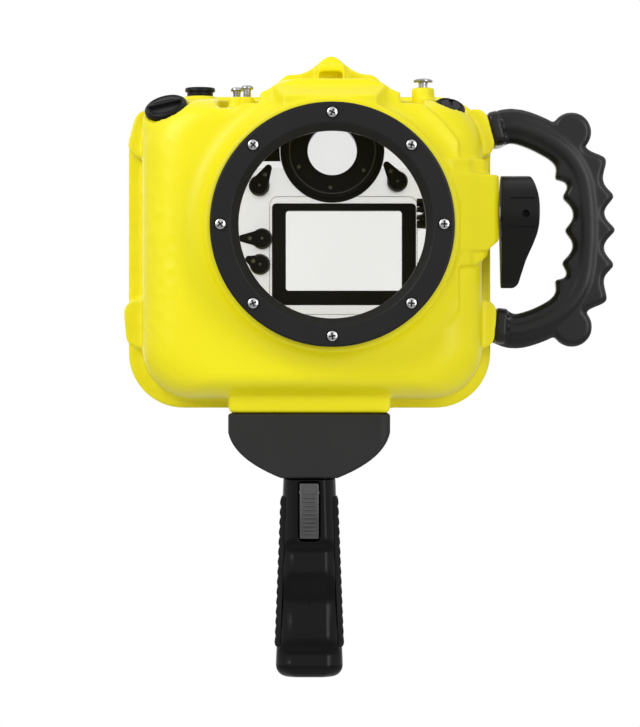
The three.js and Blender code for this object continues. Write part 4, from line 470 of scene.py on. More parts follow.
def stacked(low_x, high_x, low_z, high_z, corner, stations, segments=12):
    """Rounded rectangle carried along Y through stations of place, side inset and sill inset."""
    middle = Vector(((low_x + high_x) / 2, 0, (low_z + high_z) / 2))
    half = Vector(((high_x - low_x) / 2, 1, (high_z - low_z) / 2))
    bm = bmesh.new()
    bmesh.ops.create_grid(bm, x_segments=1, y_segments=1, size=1)
    bmesh.ops.rotate(bm, cent=(0, 0, 0), matrix=Matrix.Rotation(math.pi / 2, 3, "X"), verts=bm.verts)
    bmesh.ops.scale(bm, vec=half, verts=bm.verts)
    bmesh.ops.bevel(
        bm, geom=list(bm.verts), offset=corner, offset_type="OFFSET", segments=segments,
        profile=0.5, affect="VERTICES", material=-1,
    )
    bmesh.ops.translate(bm, vec=middle, verts=bm.verts)
    face = bm.faces[:][0]
    place, size = 0, half
    for index, (next_place, side, sill) in enumerate(stations):
        if index:
            face = drawn_out(bm, face)
        bmesh.ops.translate(bm, vec=(0, next_place - place, 0), verts=face.verts)
        next_size = Vector((half.x - side, 1, half.z - sill))
        bmesh.ops.scale(
            bm, vec=(next_size.x / size.x, 1, next_size.z / size.z), verts=face.verts,
            space=Matrix.Translation(-middle),
        )
        place, size = next_place, next_size
    bmesh.ops.recalc_face_normals(bm, faces=bm.faces)
    return bm


def hump_points(inset, base, peak=0, drop=0):
    """Outline of the prism hump in X and Z, from its foot below a base line."""
    half = HUMP_HALF - inset
    root = base - MOUTH_CORNER
    points = [(HUMP_X - half, root), (HUMP_X + half, root)]
    for step in range(HUMP_STEPS + 1):
        x = HUMP_X + half * (1 - 2 * step / HUMP_STEPS)
        rise = min(max((half - abs(x - HUMP_X)) / HUMP_SHOULDER, 0), 1)
        swell = (1 - math.cos(math.pi * rise)) / 2
        crest = peak * math.exp(-(((x - PEAK_X) / PEAK_SPREAD) ** 2))
        points.append((x, base + (HUMP_TOP - inset - drop - base) * swell + crest))
    return points


def front_stations(front, draft, steps):
    """Stations that round a box off towards its front face."""
    return [
        (front + FRONT_ROUND * (1 - sine), draft + SIDE_ROUND * rest, draft + SILL_ROUND * rest)
        for sine, rest in quarter_turn(steps)
    ]


def body_box():
    """Rounded box that draws in towards the front."""
    stations = [
        (FLANGE_REAR - BODY_OVERLAP, 0, 0), (BODY_FRONT + FRONT_ROUND, BODY_DRAFT, BODY_DRAFT),
        *front_stations(BODY_FRONT, BODY_DRAFT, 12),
    ]
    return stacked(-BODY_HALF, BODY_RIGHT, BODY_BOTTOM, BODY_TOP, BODY_CORNER, stations)


def flange_solids(front, rear):
    """Flange outline: the rounded rectangle and the hump with its peak."""
    plate = stacked(
        -FLANGE_HALF, FLANGE_HALF, FLANGE_BOTTOM, FLANGE_TOP, FLANGE_CORNER,
        [(front, 0, 0), (rear, 0, 0)], 16,
    )
    return [plate, slab(hump_points(0, FLANGE_TOP, PEAK_RISE), front, rear)]


def hump_solid():
    """Hump ahead of the flange, sloping down to the collar."""
    collar_top = PORT_AXIS.z + TURRET_RADIUS
    half = HUMP_HALF + CUT
    full = slab(hump_points(0, BODY_TOP, 0, HUMP_DROP), HUMP_FOOT, FLANGE_REAR - 2)
    side = [
        (HUMP_FOOT - CUT, collar_top - HUMP_WALL * 2), (FLANGE_REAR, collar_top - HUMP_WALL * 2),
        (FLANGE_REAR, HUMP_CREST + CUT), (CREST_FRONT, HUMP_CREST + CUT),
        (CREST_FRONT * 0.55 + HUMP_FOOT * 0.45, HUMP_CREST * 0.8 + collar_top * 0.2),
        (HUMP_FOOT - CUT, collar_top),
    ]
    slope = extruded([(HUMP_X - half, y, z) for y, z in side], RIGHT * 2 * half)
    right = [(HUMP_X + share * half, y, BODY_BOTTOM) for share, y in HUMP_PLAN_SHARES]
    left = [(2 * HUMP_X - x, y, z) for x, y, z in reversed(right)]
    plan = extruded(right + left, UP * (HUMP_TOP - BODY_BOTTOM + CUT))
    return combined(combined(full, [slope], "INTERSECT"), [plan], "INTERSECT")


def collar_solid():
    """Collar that flares into the front face."""
    foot = TURRET_RADIUS + TURRET_FILLET
    flare = [
        (TURRET_RADIUS + TURRET_FILLET * (1 - sine), TURRET_FILLET * rest)
        for sine, rest in quarter_turn(10)
    ]
    profile = [
        (0, -TURRET_SINK), (foot, -TURRET_SINK), (foot, 0), *flare,
        (TURRET_RADIUS, TURRET_HEIGHT - CUT), (TURRET_RADIUS - CUT, TURRET_HEIGHT),
        (0, TURRET_HEIGHT),
    ]
    collar = turned(profile, PORT_AXIS + REARWARD * BODY_FRONT, FORWARD, 144)
    side = BODY_HALF - SIDE_ROUND / 2
    sill = SILL_ROUND / 2
    front = BODY_FRONT - TURRET_HEIGHT - CUT
    face = stacked(
        -side, side, BODY_BOTTOM + sill, BODY_TOP - sill, BODY_CORNER - sill,
        [(front, 0, 0), (0, 0, 0)],
    )
    hump = slab(hump_points(0, BODY_TOP, 0, HUMP_DROP), front, -CUT)
    return combined(collar, [combined(face, [hump], "UNION")], "INTERSECT")


KNOB_Y = -8
KNOB_Z = 194
KNOB_BORE = 7
GEARBOX_ROOT = 60
GEARBOX_RIGHT = 100.7
GEARBOX_BOTTOM = 173.3
GEARBOX_TOP = 213.8
GEARBOX_LENGTH = 20
GEARBOX_CHAMFER = 7
GEARBOX_FRONT = [(60, 0.5), (68, 0.9), (76, 3.6), (84, 9.6)]
GEARBOX_CORNER = (2.2, 4.5)


def gearbox_tier(draw_in, rise):
    """Block for the knob's shaft: its front face turns back to a flat right side."""
    front = BODY_FRONT - TURRET_HEIGHT + 0.5 + draw_in / 3
    rear = KNOB_Y + GEARBOX_LENGTH
    right = GEARBOX_RIGHT - draw_in
    bottom, top = GEARBOX_BOTTOM - rise, GEARBOX_TOP + rise
    plan = [
        (GEARBOX_ROOT, BODY_FRONT + 3), *[(x, front + back) for x, back in GEARBOX_FRONT],
        (90 - draw_in / 2, front + 15), (right - GEARBOX_CORNER[0], KNOB_Y - GEARBOX_LENGTH),
        (right, KNOB_Y - GEARBOX_LENGTH + GEARBOX_CORNER[1]), (right, rear),
        (GEARBOX_ROOT, rear),
    ]
    block = extruded([(x, y, bottom) for x, y in plan], UP * (top - bottom))
    end = [
        (GEARBOX_ROOT - CUT, bottom), (right - GEARBOX_CHAMFER, bottom),
        (right + CUT, bottom + GEARBOX_CHAMFER), (right + CUT, top), (GEARBOX_ROOT - CUT, top),
    ]
    return combined(block, [slab(end, front - CUT, rear + CUT)], "INTERSECT")


HANDLE_Y = 17
UPPER_FOOT = {"out": 97.6, "up": 239.4, "tilt": 15, "spare": -2.2}
LOWER_FOOT = {"out": 100, "up": 134.4, "tilt": -5, "spare": -1}
FEET = [UPPER_FOOT, LOWER_FOOT]
FOOT_LENGTH = 38
FOOT_ROUND = 5
FOOT_BOLT_REACH = 13.5
PAD_HEIGHT = 26
PAD_DEPTH = 26
PAD_ROUND = 7


def foot_block(foot, side, length, height, low, high, outer=0):
    """Rounded block on a handle foot, between two distances along its outward direction."""
    bm = box((low, -length / 2, -height / 2), (high, length / 2, height / 2))
    if outer:
        lengthways = along(ALONG_Y)
        round_edges(bm, lambda edge: lengthways(edge) and edge.verts[0].co.x > high - CUT, outer, 6)
    else:
        round_edges(bm, along(ALONG_X), FOOT_ROUND, 6)
    turn = Matrix.Rotation(-math.radians(foot["tilt"]), 4, "Y")
    lift = Matrix.Translation((foot["out"], HANDLE_Y, foot["up"]))
    moved(bm, Matrix.Scale(side, 4, RIGHT) @ lift @ turn)
    bmesh.ops.recalc_face_normals(bm, faces=bm.faces)
    return bm


def foot_bolts(side):
    """Places of both feet's bolts, and the directions that they point out."""
    made = []
    for foot in FEET:
        tilt = math.radians(foot["tilt"])
        out = Vector((side * math.cos(tilt), 0, math.sin(tilt)))
        middle = Vector((side * foot["out"], HANDLE_Y, foot["up"]))
        made += [(middle + REARWARD * FOOT_BOLT_REACH * end, out) for end in (-1, 1)]
    return made


PLUG_LEAN = math.radians(32)
PLUG_SPLAY = math.radians(13)
PLUG_GAP = 1.2
PLUG_STEM_SHARE = 0.84
PLUG_STEM_ROOM = 18
PLUG_ROOT = 46
PLUG_CLEAR = 60
LEFT_PLUG = {"at": Vector((-76, -14, 248.5)), "side": -1, "diameter": 23}
RIGHT_PLUG = {"at": Vector((74.5, -13, 248.5)), "side": 1, "diameter": 16.5}
PLUGS = [LEFT_PLUG, RIGHT_PLUG]


def plug_direction(side):
    """Way that an upper corner plug faces: up, forward and a little outward."""
    aim = Vector((side * math.sin(PLUG_SPLAY), -math.sin(PLUG_LEAN), math.cos(PLUG_LEAN)))
    return aim.normalized()


def plug_column(plug):
    """Column out of the body's corner, cut off square to the plug."""
    radius = plug["diameter"] / 2 + PLUG_GAP
    foot = [(0, -PLUG_ROOT), (radius / 2, -PLUG_ROOT), (radius, -PLUG_ROOT / 2)]
    profile = [*foot, (radius, radius), (0, radius)]
    column = turned(profile, plug["at"], UP, 64)
    above = rod(2 * plug["diameter"], 0, PLUG_CLEAR, plug["at"], plug_direction(plug["side"]))
    return combined(column, [above], "DIFFERENCE")


def plug_room(plug):
    """Room above the seat and the bore for the stem."""
    aim = plug_direction(plug["side"])
    radius = plug["diameter"] / 2
    clear = plug["at"] + Vector((-plug["side"] * 0.8, -0.6, 0)) * radius * 0.4
    return [
        rod(radius + PLUG_GAP, 0, plug["diameter"], plug["at"], aim),
        rod(radius + PLUG_GAP, 0.2, plug["diameter"], clear, aim),
        rod(radius * PLUG_STEM_SHARE + 0.3, -PLUG_STEM_ROOM, CUT, plug["at"], aim),
    ]


SHUTTER_AT = (-58.8, 4)
SHUTTER_BOSS = 8.9
SHUTTER_BOSS_TOP = 257.4
SHUTTER_WELL = 7.7
SHUTTER_WELL_FLOOR = SHUTTER_BOSS_TOP - 4.6
PAIR = [(-33.2, -10), (-39, 3)]
PAIR_MIDDLE = (-36.1, -3.5)
PAIR_BOSS_TOP = 255.8
PAIR_BOSS_HALF = (6.8, 13.5)
RIGHT_AT = (60.9, -4)
RIGHT_BOSS = 6.1
RIGHT_BOSS_TOP = 261.4
RECESS_FLOOR = 251.4
RECESS_SLOPE = math.radians(3.5)
RECESS_ROUND = 3.5
RECESS_LENGTHS = (46, 16.1)
RECESSES = [(PAIR_MIDDLE[0] + 1, 28), (51, 20)]
CORNER_ROOM = 12
LUG_HALF = 7.7
LUG_LENGTH = 14
LUG_RISE = 11.9
LUG_ROUND = 1.8
POCKET_HALF = 6.3
POCKET_DEPTH = 9.8
POCKET_FLOOR = -0.9
POCKET_ROOF = 7.6
GROOVE_TOOL = 6


def top_bosses():
    """Bosses that carry the push buttons on top."""
    root = MOUTH_TOP + 0.3
    x, y = PAIR_MIDDLE
    half_x, half_y = PAIR_BOSS_HALF
    return [
        rounded_box((x - half_x, y - half_y, root), (x + half_x, y + half_y, PAIR_BOSS_TOP),
                    ALONG_Z, RECESS_ROUND),
        rod(SHUTTER_BOSS, root, SHUTTER_BOSS_TOP, (*SHUTTER_AT, 0)),
        rod(RIGHT_BOSS, root, RIGHT_BOSS_TOP, (*RIGHT_AT, 0)),
    ]


def recesses():
    """Recesses open to the front, on each side of the hump."""
    front, rear = PAIR_MIDDLE[1] - RECESS_LENGTHS[0], PAIR_MIDDLE[1] + RECESS_LENGTHS[1]
    turn = Matrix.Rotation(RECESS_SLOPE, 3, "X")
    made = []
    for x, width in RECESSES:
        room = rounded_box((x - width / 2, front, 0), (x + width / 2, rear, 2 * CORNER_ROOM),
                           ALONG_Z, RECESS_ROUND)
        bmesh.ops.rotate(room, cent=(x, rear, 0), matrix=turn, verts=room.verts)
        made.append(moved(room, Matrix.Translation(UP * RECESS_FLOOR)))
    return made


def lug_solids():
    """Lug for the upper thumb screw, and the pocket under its lip."""
    front = FLANGE_FRONT - LUG_LENGTH
    block = rounded_box(
        (PEAK_X - LUG_HALF, front, HUMP_CREST - HUMP_DROP),
        (PEAK_X + LUG_HALF, FLANGE_FRONT + 6, HUMP_CREST + LUG_RISE), ALONG_Y, LUG_ROUND,
    )
    pocket = box(
        (PEAK_X - POCKET_HALF, front - CUT, HUMP_CREST + POCKET_FLOOR),
        (PEAK_X + POCKET_HALF, front + POCKET_DEPTH, HUMP_CREST + POCKET_ROOF),
    )
    return block, pocket


def camera_space():
    """Hollow for the camera, open at the rear, with room for its prism."""
    inner = BODY_FRONT + BODY_WALL
    front = inner + FRONT_ROUND
    rear = FLANGE_REAR + CUT
    stations = [(rear, 0, 0), (front, 0, 0), *front_stations(inner, 0, 8)]
    hollow = stacked(-MOUTH_HALF, MOUTH_HALF, MOUTH_BOTTOM, MOUTH_TOP, MOUTH_CORNER, stations)
    return hollow, slab(hump_points(HUMP_WALL, MOUTH_TOP), front, rear)


def mouth_plate(offset, front, rear):
    """Plate with the mouth's outline, let out by an offset."""
    plate = stacked(
        -MOUTH_HALF - offset, MOUTH_HALF + offset, MOUTH_BOTTOM - offset, MOUTH_TOP + offset,
        MOUTH_CORNER + offset, [(front, 0, 0), (rear, 0, 0)],
    )
    hump = slab(hump_points(HUMP_WALL - offset, MOUTH_TOP + offset), front, rear)
    return combined(plate, [hump], "UNION")


def mouth_band(inner, outer, depth, over):
    """Band round the mouth between two offsets, from a depth under the flange's rear face."""
    low, high = FLANGE_REAR - depth, FLANGE_REAR + over
    inside = mouth_plate(inner, FLANGE_REAR - GROOVE_TOOL, high + CUT)
    return combined(mouth_plate(outer, low, high), [inside], "DIFFERENCE")


DIMPLE_SIZE = 7.5
DIMPLE_EDGE = 70


def yellow_moulding():
    """Bright yellow plastic with a slight sheen, faint flow marks and a dimpled far side."""
    finish = Finish("yellow_moulding")
    place = finish.place()
    drift = finish.noise(60, 2.0, place)
    colour = finish.mix(drift, (0.9, 0.79, 0.003), (0.95, 0.86, 0.005))
    cells = finish.node(
        "ShaderNodeTexVoronoi", {"feature": "SMOOTH_F1"},
        {"Vector": place, "Scale": 1 / (DIMPLE_SIZE * MM), "Smoothness": 0.35}, "Distance",
    )
    across = finish.node("ShaderNodeSeparateXYZ", {}, {"Vector": place}, "X")
    side = (across * -1 > DIMPLE_EDGE * MM) * finish.noise(30, 1.0, place)
    dimples = finish.bump(cells * side, 1.8, 0.5)
    skin = finish.bump(finish.noise(0.9, 2.0, place), 0.03, 0.5, dimples)
    polish = 0.36 + finish.noise(25, 3.0, place) * 0.12
    return finish.surface(
        {"Specular IOR Level": 0.36}, Base_Color=colour, Roughness=polish, Normal=skin,
    )


YELLOW = yellow_moulding()
BRACKET_PAD_HALF = 43
BRACKET_PAD_LENGTH = 60
BOLT_HOLE = {"radius": 2.5, "low": -10, "high": 3, "steps": 24}
BODY_SKIN = {"voxel": 0.9, "passes": 9, "share": 0.34}


def body_shell():
    """The moulding: every form joined, then hollowed, then eased as one skin."""
    lug, pocket = lug_solids()
    pad = rounded_box(
        (-BRACKET_PAD_HALF, FLANGE_REAR - BRACKET_PAD_LENGTH, shell_low.z),
        (BRACKET_PAD_HALF, FLANGE_REAR, MOUTH_BOTTOM), ALONG_Y, 3,
    )
    bosses = [
        foot_block(foot, side, FOOT_LENGTH, PAD_HEIGHT, -PAD_DEPTH, foot["spare"] if side < 0 else 0,
                   PAD_ROUND)
        for foot in FEET for side in (-1, 1)
    ]
    opened = combined(combined(body_box(), bosses, "UNION"), recesses(), "DIFFERENCE")
    forms = [
        *flange_solids(FLANGE_FRONT, FLANGE_REAR), hump_solid(), collar_solid(), pad, lug,
        gearbox_tier(0, 0), gearbox_tier(6, 8), *[plug_column(plug) for plug in PLUGS],
        *top_bosses(),
    ]
    whole = combined(opened, forms, "UNION")
    rooms = [
        *camera_space(), rod(PORT_BORE, -FLANGE_FRONT, PORT_BORE_END, PORT_AXIS, FORWARD, 144),
        mouth_band(1.5, 5.1, 2.9, CUT),
        rod(KNOB_BORE, GEARBOX_ROOT, GEARBOX_RIGHT + 9.3, (0, KNOB_Y, KNOB_Z), RIGHT), pocket,
        *[room for plug in PLUGS for room in plug_room(plug)],
    ]
    skin = moulded(combined(whole, rooms, "DIFFERENCE"), **BODY_SKIN)
    bolt_holes = [rod(**BOLT_HOLE, centre=place, direction=out) for place, out in foot_bolts(-1)]
    well = rod(SHUTTER_WELL, SHUTTER_WELL_FLOOR, HUMP_TOP, (*SHUTTER_AT, 0))
    return combined(skin, [*bolt_holes, well], "DIFFERENCE")


piece("moulded_body", body_shell(), YELLOW, "housing", "yellow_shell", "front_shell", crease=60)


# Port ring
# Turned aluminium ring, black anodised, bevelled towards the bore. Eight cross-head screws hold
# it on the collar over a round seal.

RING_RADIUS = (ring_high.x - ring_low.x) / 2
RING_DEPTH = ring_high.y - ring_low.y
RING_BORE = 48.9
RING_BEVEL = 4.2
RING_EDGE = (0.9, 0.4)
SCREW_CIRCLE = 58.25
SCREW_HEAD = 2.8
SCREW_HEIGHT = 1.65
SCREW_COUNT = 8


def eased(points, radius, steps=3):
    """Closed profile with every corner rounded."""
    made = []
    count = len(points)
    for index, corner in enumerate(points):
        here = Vector(corner)
        before = Vector(points[index - 1]) - here
        after = Vector(points[(index + 1) % count]) - here
        start = here + before.normalized() * min(radius, before.length * 0.45)
        end = here + after.normalized() * min(radius, after.length * 0.45)
        for step in range(steps + 1):
            share = step / steps
            made.append(tuple(start.lerp(here, share).lerp(here.lerp(end, share), share)))
    return made


def merged(parts):
    """One mesh of several."""
    whole = bmesh.new()
    for part in parts:
        mesh = bpy.data.meshes.new("part")
        part.to_mesh(mesh)
        part.free()
        whole.from_mesh(mesh)
        bpy.data.meshes.remove(mesh)
    return whole


def copied(bm, frames):
    """Copies of a mesh on several frames, in one mesh."""
    copies = [moved(bm.copy(), matrix) for matrix in frames]
    bm.free()
    return merged(copies)


def cross(reach, low, high):
    """Two bars across each other."""
    thin = reach * 0.24
    bar = box((-reach, -thin, low), (reach, thin, high))
    return combined(bar, [box((-thin, -reach, low), (thin, reach, high))], "UNION")


SCREW_DOME_SHARES = [(0.96, 0), (1, 0.12), (1, 0.4), (0.93, 0.72), (0.72, 0.9), (0.4, 0.98), (0, 1)]


def screw(head, height, shank, length, recess="cross"):
    """Upright screw with a flat domed head, cut by a cross or a hexagon."""
    dome = [(head * share, height * rise) for share, rise in SCREW_DOME_SHARES]
    body = turned([(0, -length), (shank, -length), (shank, 0), *dome], steps=32)
    deep = height * 0.35
    if recess == "cross":
        return combined(body, [cross(head * 0.64, deep, 2 * height)], "DIFFERENCE")
    return combined(body, [rod(head * 0.48, deep, 2 * height, steps=6)], "DIFFERENCE")


def grained(name, low, high, grain, rough, fixed, cloud=None, drift=None, relief=None):
    """Two near tones run together by clouds, a polish that varies, and a fine relief.

    Grain, cloud and drift are a size in millimetres and a detail. Rough is the least roughness
    and its swing, by the drift or else the grain. Relief is a depth in millimetres and a strength.
    """
    finish = Finish(name)
    place = finish.place()
    fine = finish.noise(*grain, place)
    tones = finish.noise(*cloud, place) if cloud else fine
    polish = finish.noise(*drift, place) if drift else fine
    varied = {"Base_Color": finish.mix(tones, low, high), "Roughness": rough[0] + polish * rough[1]}
    if relief:
        varied["Normal"] = finish.bump(fine, *relief)
    return finish.surface(fixed, **varied)


def two_greys(name, low, high, grain, rough, shine, cloud, relief, drift=None):
    """Dark finish between two greys, as rubber, nylon and anodised metal have."""
    fixed = {"Specular IOR Level": shine}
    return grained(name, (low,) * 3, (high,) * 3, grain, rough, fixed, cloud, drift, relief)


ANODISED = two_greys("anodised_black", 0.01, 0.017, (1.2, 4.0), (0.32, 0.1), 0.15, (40, 2.0),
                     (0.02, 0.4))
STEEL = grained("bright_steel", (0.4, 0.4, 0.41), (0.6, 0.6, 0.61), (0.6, 3.0), (0.14, 0.14),
                {"Metallic": 1.0}, cloud=(6, 2.0), relief=(0.008, 0.5))
RUBBER = two_greys("black_rubber", 0.006, 0.014, (0.7, 3.0), (0.62, 0.2), 0.16, (9, 3.0),
                   (0.06, 0.6))


def round_port(angle, y):
    """Place on the circle of screws."""
    return PORT_AXIS + Vector((SCREW_CIRCLE * math.cos(angle), y, SCREW_CIRCLE * math.sin(angle)))


SCREW_ANGLES = even_angles(SCREW_COUNT)
ring_profile = eased([
    (RING_BORE, 0), (RING_RADIUS, 0), (RING_RADIUS, RING_DEPTH - RING_EDGE[1]),
    (RING_RADIUS - RING_EDGE[0], RING_DEPTH), (RING_BORE + RING_BEVEL, RING_DEPTH),
    (RING_BORE, RING_DEPTH - RING_BEVEL),
], 0.5)
port_ring = turned(ring_profile, PORT_AXIS + REARWARD * ring_high.y, FORWARD, 192)
seats = [
    rod(SCREW_HEAD + 0.45, -0.7, CUT, round_port(angle, ring_low.y), FORWARD, 32)
    for angle in SCREW_ANGLES
]
piece("port_ring_turned", combined(port_ring, seats, "DIFFERENCE"), ANODISED, "housing",
      "anodised", "port_ring")

screw_frames = [
    standing(FORWARD, round_port(angle, ring_low.y - 0.2), angle * 1.7) for angle in SCREW_ANGLES
]
piece("port_screws", copied(screw(SCREW_HEAD, SCREW_HEIGHT, 1.5, 14), screw_frames),
      STEEL, "housing", "steel", *[f"port_screw_{k + 1}" for k in range(SCREW_COUNT)])
# Painted shade: black cross fills sunk in the screws' cross recesses, where only shade falls.
painted_recess_shade = cross(SCREW_HEAD * 0.63, SCREW_HEIGHT * 0.36, SCREW_HEIGHT * 0.7)
piece("port_screw_painted_shade", copied(painted_recess_shade, screw_frames), RUBBER, "housing", "steel")


# Side handle
# Moulded nylon grip: a round bar inside a flat web with lobes for the fingers, running into two
# feet that are bolted to the pads on the body.

HANDLE_REACH = 52.5
HANDLE_MIDDLE = (UPPER_FOOT["up"] + LOWER_FOOT["up"]) / 2
HANDLE_RISE = (UPPER_FOOT["up"] - LOWER_FOOT["up"]) / 2 * 0.99
HANDLE_TUBE = 8
HANDLE_WEB = 4.6
HANDLE_THICK = 6.6
HANDLE_ARM = 9.4
HANDLE_WAIST = 2.2
WEB_STEP = 1.8
WEB_CORNER_STEP = 1.2
HAND_ROOM = (46, 60, -30)
HANDLE_SKIN = {"voxel": 0.85, "passes": 9, "share": 0.5}
FOOT_HEIGHT = 19
FOOT_THICKNESS = 6
FOOT_GAP = 0.3
FOOT_SEAT = 4.6
LOBE_OUTSIDE = 7.4
LOBE_INSIDE = 5.4
LOBE_LENGTH = 5.2
CORNER_RADIUS = 10.8
ROUTE_SHARES = [
    (0.04, -1.01), (0.143, -1.06), (0.238, -1.068), (0.373, -1.036), (0.528, -0.972),
    (0.686, -0.872), (0.819, -0.729), (0.914, -0.546), (0.96, -0.22), (0.968, 0), (0.96, 0.2),
    (0.918, 0.502), (0.823, 0.695), (0.695, 0.835), (0.533, 0.941), (0.371, 1.018), (0.229, 1.06),
    (0.114, 1.06), (0, 1.02),
]
OUTER_LOBE_SHARES = [0.309, 0.392, 0.493, 0.59, 0.677]
INNER_LOBE_SHARES = [0.29, 0.383, 0.491, 0.604, 0.7]
CORNER_SHARES = [(0.793, 1.0), (0.8, -1.025)]


def curve_through(points, per_span=9):
    """Even curve through points, whose spans are timed by the root of their length."""
    points = [2 * points[0] - points[1], *points, 2 * points[-1] - points[-2]]
    made = []
    for a, b, c, d in zip(points, points[1:], points[2:], points[3:]):
        times = [math.sqrt((q - p).length) for p, q in ((a, b), (b, c), (c, d))]
        enter = (b - a) / times[0] - (c - a) / (times[0] + times[1]) + (c - b) / times[1]
        leave = (c - b) / times[1] - (d - b) / (times[1] + times[2]) + (d - c) / times[2]
        for step in range(per_span):
            t = step / per_span
            made.append(
                b * (2 * t ** 3 - 3 * t ** 2 + 1) + c * (3 * t ** 2 - 2 * t ** 3)
                + enter * times[1] * (t ** 3 - 2 * t ** 2 + t)
                + leave * times[1] * (t ** 3 - t ** 2)
            )
    return [*made, points[-2]]


def swept(outline, stations):
    """Closed solid: an outline carried through stations, each of which places its points."""
    bm = bmesh.new()
    face = bm.faces.new([bm.verts.new(stations[0](point)) for point in outline])
    for station in stations[1:]:
        face = drawn_out(bm, face)
        for vertex, point in zip(face.verts, outline):
            vertex.co = station(point)
    bmesh.ops.recalc_face_normals(bm, faces=bm.faces)
    return bm


def circle(radius, count):
    """Points round a circle."""
    return [(radius * math.cos(angle), radius * math.sin(angle)) for angle in even_angles(count)]


def travelled(points):
    """Share of the whole length at each point, and the length."""
    lengths = [0]
    for start, end in zip(points, points[1:]):
        lengths.append(lengths[-1] + (end - start).length)
    return [length / lengths[-1] for length in lengths], lengths[-1]


def handle_place(across, up):
    """Point of the handle, from shares of its reach and its rise."""
    return Vector((
        LOWER_FOOT["out"] + across * HANDLE_REACH, HANDLE_Y, HANDLE_MIDDLE + up * HANDLE_RISE,
    ))


def outward(tangent):
    """Direction away from the hand's room, square to the bar."""
    return Vector((tangent.z, 0, -tangent.x))


def handle_bar():
    """Bar, web and feet in one moulding."""
    route = curve_through([handle_place(*shares) for shares in ROUTE_SHARES])
    shares, length = travelled(route)
    tangents = [(end - start).normalized() for start, end in zip(route, route[1:])]
    tangents.append(tangents[-1])

    def station(middle, tangent):
        out = outward(tangent)
        return lambda point: middle + out * point[0] + REARWARD * point[1]

    def swell(share, lobes, height):
        return sum(
            height * math.exp(-abs((share - lobe) * length / LOBE_LENGTH) ** 1.6) for lobe in lobes
        )

    def web(thick, inset):
        outer, inner = [], []
        for middle, tangent, share in zip(route, tangents, shares):
            out = outward(tangent)
            half = HANDLE_ARM - inset - HANDLE_WAIST * math.sin(math.pi * share) ** 4
            outer.append(middle + out * (half + swell(share, OUTER_LOBE_SHARES, LOBE_OUTSIDE)))
            inner.insert(0, middle - out * (half + swell(share, INNER_LOBE_SHARES, LOBE_INSIDE)))
        edge = [point - REARWARD * thick for point in outer + inner]
        return extruded(edge, REARWARD * thick * 2)

    tube = swept(circle(HANDLE_TUBE, 28), [station(*pair) for pair in zip(route, tangents)])
    webs = [web(HANDLE_WEB, 0), web(HANDLE_THICK, WEB_STEP)]
    for corner_shares in CORNER_SHARES:
        place = handle_place(*corner_shares)
        webs += [
            rod(CORNER_RADIUS, -HANDLE_WEB, HANDLE_WEB, place, REARWARD),
            rod(CORNER_RADIUS - WEB_CORNER_STEP, -HANDLE_THICK, HANDLE_THICK, place, REARWARD),
        ]
    feet = [
        foot_block(foot, 1, FOOT_LENGTH, FOOT_HEIGHT, FOOT_GAP, FOOT_THICKNESS) for foot in FEET
    ]
    room = [foot_block(foot, 1, *HAND_ROOM, FOOT_GAP) for foot in FEET]
    trimmed = combined(combined(tube, [*webs, *feet], "UNION"), room, "DIFFERENCE")
    seats = [
        rod(FOOT_SEAT, FOOT_THICKNESS - 0.6, 20, place, out, 32) for place, out in foot_bolts(1)
    ]
    return combined(moulded(trimmed, **HANDLE_SKIN), seats, "DIFFERENCE")


def black_nylon(name, low, high, rough, shine, grain_size, depth):
    """Black moulded nylon: fine grain, and a polish that drifts."""
    return two_greys(name, low, high, (grain_size, 3.0), (rough, 0.1), shine, (30, 3.0),
                     (depth, 0.5), (14, 3.0))


HANDLE_BLACK = black_nylon("handle_nylon", 0.009, 0.014, 0.26, 0.26, 0.8, 0.03)
SATIN_BLACK = black_nylon("satin_nylon", 0.006, 0.01, 0.34, 0.12, 0.7, 0.04)
piece("handle_bar", handle_bar(), HANDLE_BLACK, "housing", "black_plastic", "side_handle", crease=50)

bolt_frames = [standing(out, place + out * (FOOT_THICKNESS - 0.5)) for place, out in foot_bolts(1)]
piece("handle_bolts", copied(screw(4.2, 2.8, 2.5, 15.5, "hexagon"), bolt_frames), ANODISED,
      "housing", "anodised", *[f"handle_bolt_{k + 1}" for k in range(len(bolt_frames))])


# Bracket and pistol grip
# Cast bracket screwed to the pad, and a moulded grip with a recessed face, finger swells and
# ribbed rubber side panels, held by one long bolt from the butt.

bracket_low, bracket_high = span("grip_bracket")
grip_low, grip_high = span("pistol_grip")
BRACKET_FLAT = 15
BRACKET_BEND = (3, 10)
BRACKET_STEPS = 14
FACET = [(-6.4, -CUT), (CUT, -CUT), (CUT, 6), (0, 4), (-6.4, 0)]
BOLT_SEAT = 4.6
GRIP_HALF = 21
GRIP_TOP_HALF = 14
GRIP_BUTT_HALF = 18.2
GRIP_CORNER = 10
BUTT_ROUND = 7
SWELL_TOP = 3.8
SWELL_PITCH = 35.8
SWELL_DEPTH = 2.6
BOLT_X = 31
BOLT_Y = 4
GRIP_BOLT_Y = 12
BOLT_ROOM = (5.6, 8)
TOOL_AHEAD = 4
FACE_HALF = 12.4
FACE_DEPTH = 1.2
FACE_HEIGHTS = (19, 70)
SLOT_HALF = 5.3
SLOT_BACK = -8
SLOT_HEIGHTS = (19.7, 50.5)
SEAM_HALF = 0.3
SEAM_DEPTH = 4.4
SEAM_HEIGHTS = (-15.5, -6.5)
GRIP_SKIN = {"voxel": 0.6, "passes": 3, "share": 0.45}
PANEL_GAP = 0.3
PANEL_HEIGHT = 79.5
PANEL_DEPTH = 30
PANEL_TOP = 42.6
RIB_PITCH = 5.3
RIB_COUNT = 15
RIB_STEPS = 8
RIB_RISE = (0.15, 0.95)


